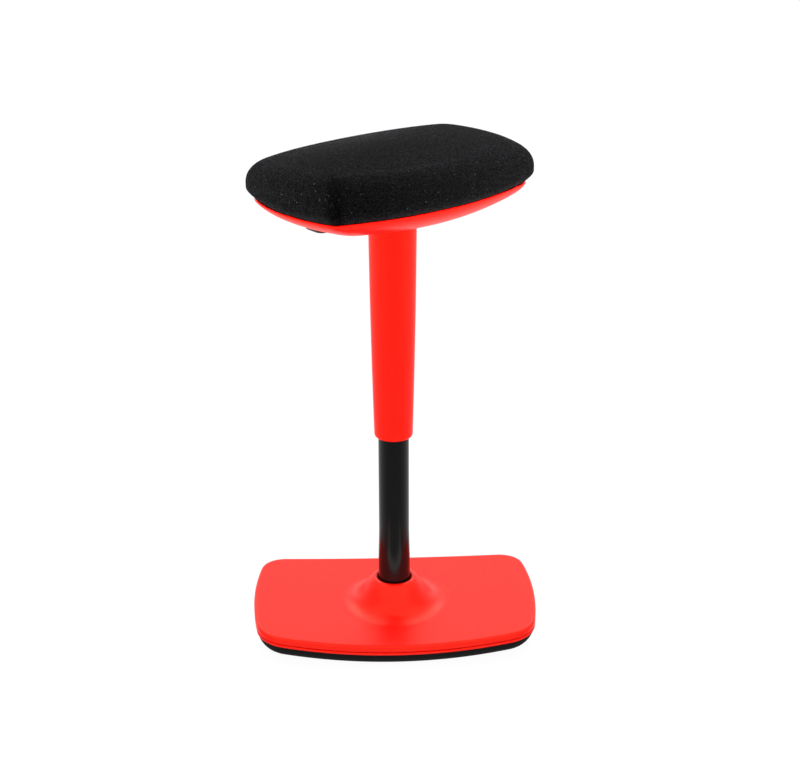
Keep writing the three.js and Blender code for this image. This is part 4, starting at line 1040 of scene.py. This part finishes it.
def pad_outline(context, inset):
    """Outline of the pad moved in by inset, whose corners stay soft."""
    seat = context.scene.stool.seat
    return outline(context, seat.outline, inset, seat.inner_corner)


def pad_ring(context, inset, height):
    return ring(pad_outline(context, inset), height)


def crown_rise(seat, point):
    """Rise of the pad's top at a place: a dome, higher at the short ends than at the long sides."""
    across = (point.x / (seat.outline.half_width - seat.round_in)) ** 2
    along = (point.y / (seat.outline.half_depth - seat.round_in)) ** 2
    return seat.crown * (1 - across) * (1 - along) + seat.end_rise * across - seat.side_drop * along


def pad_skin_rings(context, offset, top_steps=14, round_steps=16, belly_steps=8):
    """Rings of the upholstery, from the seam up over the edge and in to the crown."""
    seat = context.scene.stool.seat
    made = []
    for i in range(1, belly_steps + 1):
        amount = i / belly_steps
        inset = offset + seat.tuck * (1 - amount) ** 2
        # The ends bulge most half way up the belly, where 4 * amount * (1 - amount) is 1
        lift = 4 * seat.end_lift * amount * (1 - amount) / seat.outline.half_width**2
        level = seat.seam + seat.belly * amount
        made.append(pad_ring(context, inset, lambda p, level=level, lift=lift: level + lift * p.x**2))
    rim = pad_outline(context, seat.round_in)
    rises = [crown_rise(seat, point) for point in rim]
    shoulder = seat.seam + seat.pad_height - seat.round_down
    for turn in quarter_turns(round_steps):
        inset = offset + (seat.round_in - offset) * (1 - math.cos(turn))
        level = shoulder + (seat.round_down - offset) * math.sin(turn)
        points = pad_outline(context, inset)
        made.append([Vector((p.x, p.y, level + rise * math.sin(turn))) for p, rise in zip(points, rises)])
    top = seat.seam + seat.pad_height - offset
    for i in range(1, top_steps):
        made.append(ring(scaled(rim, 1 - i / top_steps), lambda p: top + crown_rise(seat, p)))
    return made


def relaxed(piece, loose, swell):
    """Lets the cloth settle over its stuffing, which lets no point in and none out by more than swell.

    loose tells of a place on the cloth whether it is free of the fold."""
    start = [(vertex.co.copy(), vertex.normal.copy()) for vertex in piece.data.vertices]
    held = piece.vertex_groups.new(name="held")
    held.add([v.index for v in piece.data.vertices if not loose(v.co)], 1.0, "REPLACE")
    modifier = piece.modifiers.new("Cover", "CLOTH")
    # Light, fairly stiff cloth that the stuffing presses evenly outwards
    cloth = modifier.settings
    cloth.quality = 6
    cloth.mass = 0.3
    cloth.tension_stiffness = 25
    cloth.compression_stiffness = 25
    cloth.bending_stiffness = 2.0
    cloth.use_pressure = True
    cloth.uniform_pressure_force = 4.0
    cloth.vertex_group_mass = "held"
    cloth.effector_weights.gravity = 0.0
    scene = bpy.context.scene
    for number in range(1, SETTLING_FRAMES + 1):
        scene.frame_set(number)
    apply_modifiers(piece)
    piece.vertex_groups.clear()
    scene.frame_set(1)
    points = piece.data.vertices
    moved = [(vertex.co - origin).dot(outwards) for vertex, (origin, outwards) in zip(points, start)]
    kept = evened(piece.data, [min(max(swelling, 0.0), swell) for swelling in moved])
    for vertex, (origin, outwards), swelling in zip(points, start, kept):
        vertex.co = origin + outwards * swelling


def evened(mesh, values, passes=16):
    """Values at the points of a mesh, drawn towards those of the points beside them."""
    for _ in range(passes):
        totals, counts = list(values), [1] * len(values)
        for edge in mesh.edges:
            for point, other in (edge.vertices, reversed(edge.vertices)):
                totals[point] += values[other]
                counts[point] += 1
        values = [total / count for total, count in zip(totals, counts)]
    return values


class STOOL_OT_seat_foam(bpy.types.Operator):
    """Model the moulded foam that laps over the board's edge"""

    bl_idname = "stool.seat_foam"
    bl_label = "Seat foam"

    def execute(self, context):
        seat = context.scene.stool.seat
        skin = seat.fabric + CLEARANCE
        board_inset = seat.board_inset - CLEARANCE
        top = BOARD_HIGH.z + CLEARANCE
        rings = pad_skin_rings(context, skin, 6)[::-1]
        rings.append(pad_ring(context, seat.tuck + 2 * skin, seat.seam))
        rings.append(pad_ring(context, board_inset, seat.seam))
        rings.append(pad_ring(context, board_inset, top))
        rings.append(pad_ring(context, seat.fold, top))
        crown = seat.seam + seat.pad_height + seat.crown - skin
        foam = lofted("seat_foam_moulding", rings, Vector((0, 0, crown)), Vector((0, 0, top)))
        foam.data.transform(seat_turn(context))
        finish_piece(foam, finish(context, "foam"), "seat", ["pad_foam"])
        return {"FINISHED"}


class STOOL_OT_seat_cover(bpy.types.Operator):
    """Model the cloth cover, let it settle over the foam and fold it in under the board"""

    bl_idname = "stool.seat_cover"
    bl_label = "Seat cover"

    def execute(self, context):
        seat = context.scene.stool.seat
        fold_top = BOARD_LOW.z - CLEARANCE
        fold_bottom = fold_top - seat.fabric
        drawn_in = seat.tuck + seat.fabric + 2 * CLEARANCE
        rings = pad_skin_rings(context, 0)[::-1]
        rings.append(pad_ring(context, seat.tuck, seat.seam))
        rings.append(pad_ring(context, drawn_in, seat.seam - seat.fabric))
        rings.append(pad_ring(context, drawn_in + 2 * seat.fabric, fold_bottom))
        rings.append(pad_ring(context, seat.fold, fold_bottom))
        cover = lofted("seat_cover_cloth", rings, open_skin=True)
        self.close_crown(cover, seat.seam + seat.pad_height + seat.crown)
        cover.data.transform(seat_turn(context))
        held = seat.seam + seat.seam_band
        relaxed(cover, lambda point: point.z > held, seat.swell)
        thickness = cover.modifiers.new("Thickness", "SOLIDIFY")
        thickness.thickness = seat.fabric
        thickness.offset = -1
        apply_modifiers(cover)
        finish_piece(cover, finish(context, "fabric"), "seat", ["pad_cover"])
        smooth(cover, sharp_degrees=60)
        return {"FINISHED"}

    def close_crown(self, cover, height):
        """Closes the middle of the top with a fan. The other open border is the hem."""
        form = bmesh.new()
        form.from_mesh(cover.data)
        border = [edge for edge in form.edges if edge.is_boundary]
        top = max(vertex.co.z for vertex in form.verts)
        upper = [edge for edge in border if edge.verts[0].co.z > top - MM]
        apex = form.verts.new((0, 0, height))
        for edge in upper:
            form.faces.new((edge.verts[0], edge.verts[1], apex))
        bmesh.ops.recalc_face_normals(form, faces=form.faces)
        form.to_mesh(cover.data)
        form.free()


class STOOL_OT_height_lever(bpy.types.Operator):
    """Model the paddle of the height lever"""

    bl_idname = "stool.height_lever"
    bl_label = "Height lever"

    def execute(self, context):
        lever = context.scene.stool.lever
        steps = context.scene.stool.outline_steps // 2
        bottom = PADDLE_LOW.z
        height = PADDLE_HIGH.z - PADDLE_LOW.z - lever.edge_rise

        def paddle_ring(inset, level):
            points = bowed_outline(lever.outline, inset, steps, tightest=lever.inner_corner)
            width = lever.outline.half_width
            return ring(points, lambda p: bottom + level + lever.edge_rise * (width - p.x) / (2 * width))

        rings = []
        for turn in quarter_turns(5):
            rings.append(paddle_ring(lever.edge * (1 - math.sin(turn)), lever.edge * (1 - math.cos(turn))))
        for turn in quarter_turns(5):
            level = height - lever.edge * (1 - math.sin(turn))
            rings.append(paddle_ring(lever.edge * (1 - math.cos(turn)), level))
        low = Vector((0, 0, bottom + lever.edge_rise / 2))
        paddle = lofted("lever_paddle_moulding", rings, low, low + Vector((0, 0, height)))
        paddle.data.transform(seat_turn(context) @ Matrix.Translation((lever.x, lever.y, 0)))
        self.cut_pocket(context, paddle)
        finish_piece(paddle, finish(context, "dark_plastic"), "lever", ["lever_paddle"])
        return {"FINISHED"}

    def cut_pocket(self, context, paddle):
        """Pocket that the lever's bar is pushed into."""
        lever = context.scene.stool.lever
        reach = lever.bar_end - lever.bar_start + CLEARANCE
        thickness = lever.bar_thickness + 2 * CLEARANCE
        size = Matrix.Diagonal((reach, lever.bar_width + 2 * CLEARANCE, thickness, 1))
        place = Matrix.Translation((-lever.bar_start - reach / 2, 0, LEVER_LOW.z + lever.bar_thickness / 2))
        pocket = bmesh.new()
        bmesh.ops.create_cube(pocket, size=1, matrix=lever_turn(context) @ place @ size)
        combine(paddle, pocket, "DIFFERENCE")


# Finish of each material slot in the record
HARDWARE_FINISHES = {
    "zinc_steel": "steel",
    "bright_steel": "bright_steel",
    "black_steel": "tube",
    "black_rubber": "rubber",
    "black_plastic": "dark_plastic",
    "bush_plastic": "bush",
    "plywood": "plywood",
    "seat_foam": "foam",
    "seat_fabric": "fabric",
    "red_plastic": "red",
}


class STOOL_OT_hardware(bpy.types.Operator):
    """Give every CAD piece that stays its own finish"""

    bl_idname = "stool.hardware"
    bl_label = "Inner parts and fasteners"

    def execute(self, context):
        for part in frame["record"]["subparts"]:
            node = CAD_NODES[part["node"]]
            material = finish(context, HARDWARE_FINISHES[part["material_slot"]])
            if not node.material_slots:
                node.data.materials.append(material)
            for slot in node.material_slots:
                slot.material = material
        return {"FINISHED"}


# Stage


def place_camera(context):
    """Camera at the photograph's viewpoint, aimed by pan, tilt and roll."""
    stage = context.scene.stool.stage
    camera = bpy.data.objects.new("Camera", bpy.data.cameras.new("Camera"))
    context.scene.collection.objects.link(camera)
    camera.data.lens = stage.lens
    camera.data.sensor_width = stage.sensor
    camera.data.sensor_fit = "HORIZONTAL"
    heading = Matrix.Rotation(stage.heading, 4, "Z")
    place = Matrix.Translation((0, -stage.distance, stage.height))
    aim = Matrix.Rotation(-stage.pan, 4, "Z") @ Matrix.Rotation(math.pi / 2 - stage.tilt, 4, "X")
    camera.matrix_world = heading @ place @ aim @ Matrix.Rotation(stage.roll, 4, "Z")
    context.scene.camera = camera


def softbox(context, name, standing, power, beam=math.pi, side=1):
    """Rectangular lamp whose light spreads over the angle beam, on its own side (1) or the other (-1)."""
    place, aim, size = standing
    place = Vector((side * place[0], *place[1:]))
    light = bpy.data.lights.new(name, "AREA")
    light.shape = "RECTANGLE"
    light.size, light.size_y = size
    light.energy = power
    light.spread = beam
    lamp = bpy.data.objects.new(name, light)
    context.scene.collection.objects.link(lamp)
    lamp.location = place
    lamp.rotation_euler = (Vector(aim) - place).to_track_quat("-Z", "Y").to_euler()
    return lamp


def background(nodes, strength=1.0):
    """White background of that strength."""
    node = nodes.new("ShaderNodeBackground")
    node.inputs["Color"].default_value = (1, 1, 1, 1)
    node.inputs["Strength"].default_value = strength
    return node


def mixed_shader(nodes, links, amount, first, second):
    """Shader that goes from first to second with amount."""
    node = nodes.new("ShaderNodeMixShader")
    for name, source in (("Fac", amount), (1, first), (2, second)):
        links.new(source, node.inputs[name])
    return node.outputs["Shader"]


def worked_out(nodes, links, operation, first, second):
    """Sum or product of two values."""
    node = nodes.new("ShaderNodeMath")
    node.operation = operation
    links.new(first, node.inputs[0])
    links.new(second, node.inputs[1])
    return node.outputs["Value"]


def reflected_studio(nodes, links, stage):
    """Strength of what the gloss mirrors: a dark front, pale sides and back, and a bright ceiling."""
    place = nodes.new("ShaderNodeTexCoord")
    split = nodes.new("ShaderNodeSeparateXYZ")
    links.new(place.outputs["Generated"], split.inputs["Vector"])
    front = stage.dark_front * stage.horizon
    behind = spread(nodes, links, split.outputs["Y"], *FRONT_TO_BACK, front, stage.horizon)
    behind.node.interpolation_type = "SMOOTHSTEP"
    ramp = nodes.new("ShaderNodeValToRGB")
    links.new(spread(nodes, links, split.outputs["Z"], -1.0, 1.0, 0.0, 1.0), ramp.inputs["Fac"])
    stops = ramp.color_ramp.elements
    stops[0].position, stops[1].position = STUDIO_HEIGHTS[0][0], STUDIO_HEIGHTS[-1][0]
    for position, level in STUDIO_HEIGHTS[1:-1]:
        stops.new(position)
    for stop, (position, level) in zip(stops, STUDIO_HEIGHTS):
        stop.color = (level, level, level, 1)
    walls = worked_out(nodes, links, "MULTIPLY", behind, ramp.outputs["Color"])
    sooner = spread(nodes, links, split.outputs["Y"], -1.0, 0.0, FRONT_CEILING, 0.0)
    height = worked_out(nodes, links, "ADD", split.outputs["Z"], sooner)
    above = spread(nodes, links, height, *CEILING_EDGE, 0.0, stage.ceiling)
    above.node.interpolation_type = "SMOOTHSTEP"
    return worked_out(nodes, links, "ADD", walls, above)


def white_surroundings(context):
    """White background, even light on the object, and a studio for the gloss to mirror."""
    stage = context.scene.stool.stage
    world = bpy.data.worlds.new("Studio")
    context.scene.world = world
    world.use_nodes = True
    nodes, links = world.node_tree.nodes, world.node_tree.links
    nodes.remove(nodes["Background"])
    path = nodes.new("ShaderNodeLightPath")
    mirrored = background(nodes)
    links.new(reflected_studio(nodes, links, stage), mirrored.inputs["Strength"])
    even = background(nodes, stage.ambient).outputs["Background"]
    lit = mixed_shader(nodes, links, path.outputs["Is Glossy Ray"], even, mirrored.outputs["Background"])
    white = background(nodes).outputs["Background"]
    seen = mixed_shader(nodes, links, path.outputs["Is Camera Ray"], lit, white)
    links.new(seen, nodes["World Output"].inputs["Surface"])


def floor_material():
    """Pale to the light, all but white to the camera, and clear from below."""
    material = bpy.data.materials.new("Pale floor")
    material.use_nodes = True
    nodes, links = material.node_tree.nodes, material.node_tree.links
    shader = nodes["Principled BSDF"]
    shader.inputs["Base Color"].default_value = FLOOR_COLOUR
    shader.inputs["Roughness"].default_value = 1.0
    shader.inputs["Specular IOR Level"].default_value = 0.0
    coat = nodes.new("ShaderNodeBsdfDiffuse")
    coat.inputs["Color"].default_value = FLOOR_COAT
    glow = nodes.new("ShaderNodeEmission")
    glow.inputs["Strength"].default_value = FLOOR_GLOW
    seen = nodes.new("ShaderNodeAddShader")
    links.new(coat.outputs["BSDF"], seen.inputs[0])
    links.new(glow.outputs["Emission"], seen.inputs[1])
    camera_ray = nodes.new("ShaderNodeLightPath").outputs["Is Camera Ray"]
    above = mixed_shader(nodes, links, camera_ray, shader.outputs["BSDF"], seen.outputs["Shader"])
    below = nodes.new("ShaderNodeNewGeometry").outputs["Backfacing"]
    clear = nodes.new("ShaderNodeBsdfTransparent").outputs["BSDF"]
    both = mixed_shader(nodes, links, below, above, clear)
    links.new(both, nodes["Material Output"].inputs["Surface"])
    return material


def pale_floor(context):
    """Wide pale floor that looks white, keeps the stool's shadow and is clear from below."""
    form = bmesh.new()
    bmesh.ops.create_circle(form, cap_ends=True, segments=64, radius=context.scene.stool.stage.floor_radius)
    floor = mesh_piece("Floor", form)
    floor.location.z = -CLEARANCE
    floor.visible_glossy = False
    floor.data.materials.append(floor_material())


class STOOL_OT_stage(bpy.types.Operator):
    """Set up the camera, the white surroundings, the floor and the lights"""

    bl_idname = "stool.stage"
    bl_label = "Stage"

    def execute(self, context):
        stage = context.scene.stool.stage
        context.scene.view_settings.view_transform = "Standard"
        place_camera(context)
        white_surroundings(context)
        pale_floor(context)
        overhead = softbox(context, "Overhead softbox", OVERHEAD_LAMP, stage.key)
        overhead.visible_glossy = False
        near = softbox(context, "Near floor", NEAR_FLOOR_LAMP, stage.near_floor)
        near.visible_camera = False
        near.visible_diffuse = False
        for name, side, glow in (("Left", -1, stage.left), ("Right", 1, stage.right)):
            lamp = softbox(context, name + " softbox", SIDE_LAMP, stage.side, stage.beam, side)
            lamp.visible_glossy = False
            panel = softbox(context, name + " panel", PANEL_LAMP, glow, side=side)
            panel.visible_diffuse = False
        return {"FINISHED"}


PIECE_OPERATORS = (
    STOOL_OT_stage,
    STOOL_OT_hardware,
    STOOL_OT_sole,
    STOOL_OT_base_pan,
    STOOL_OT_base_cover,
    STOOL_OT_stand_tube,
    STOOL_OT_column_sleeve,
    STOOL_OT_seat_shell,
    STOOL_OT_seat_foam,
    STOOL_OT_seat_cover,
    STOOL_OT_height_lever,
)


class STOOL_PT_sidebar(bpy.types.Panel):
    """Lists the stool's pieces"""

    bl_idname = "STOOL_PT_sidebar"
    bl_label = "Wobble Stool"
    bl_space_type = "VIEW_3D"
    bl_region_type = "UI"
    bl_category = "Stool"

    def draw(self, context):
        column = self.layout.column(align=True)
        for operator in PIECE_OPERATORS:
            column.operator(operator.bl_idname)


SETTINGS = (
    StoolOutlineSettings,
    StoolBaseSettings,
    StoolColumnSettings,
    StoolSeatSettings,
    StoolLeverSettings,
    StoolColours,
    StoolStageSettings,
    StoolSettings,
)
CLASSES = SETTINGS + PIECE_OPERATORS + (STOOL_PT_sidebar,)


def register():
    for cls in CLASSES:
        bpy.utils.register_class(cls)
    bpy.types.Scene.stool = PointerProperty(type=StoolSettings, name="Stool", description="Wobble stool")


def unregister():
    del bpy.types.Scene.stool
    for cls in reversed(CLASSES):
        bpy.utils.unregister_class(cls)


def set_outlines(stool):
    """Plans of the pad and the paddle, which differ from the base's."""
    pad = stool.seat.outline
    pad.half_width, pad.half_depth = 222.4 * MM, 150.3 * MM
    pad.long_arc, pad.short_arc, pad.corner = 513 * MM, 271 * MM, 37.2 * MM
    paddle = stool.lever.outline
    paddle.half_width, paddle.half_depth = 22 * MM, 22 * MM
    paddle.long_arc, paddle.short_arc, paddle.corner = 300 * MM, 300 * MM, 12 * MM


def main():
    register()
    set_outlines(bpy.context.scene.stool)
    bpy.ops.stool.stage()
    bpy.ops.stool.hardware()
    bpy.ops.stool.sole()
    bpy.ops.stool.base_pan()
    bpy.ops.stool.base_cover()
    bpy.ops.stool.stand_tube()
    bpy.ops.stool.column_sleeve()
    bpy.ops.stool.seat_shell()
    bpy.ops.stool.seat_foam()
    bpy.ops.stool.seat_cover()
    bpy.ops.stool.height_lever()


if __name__ == "__main__":
    main()
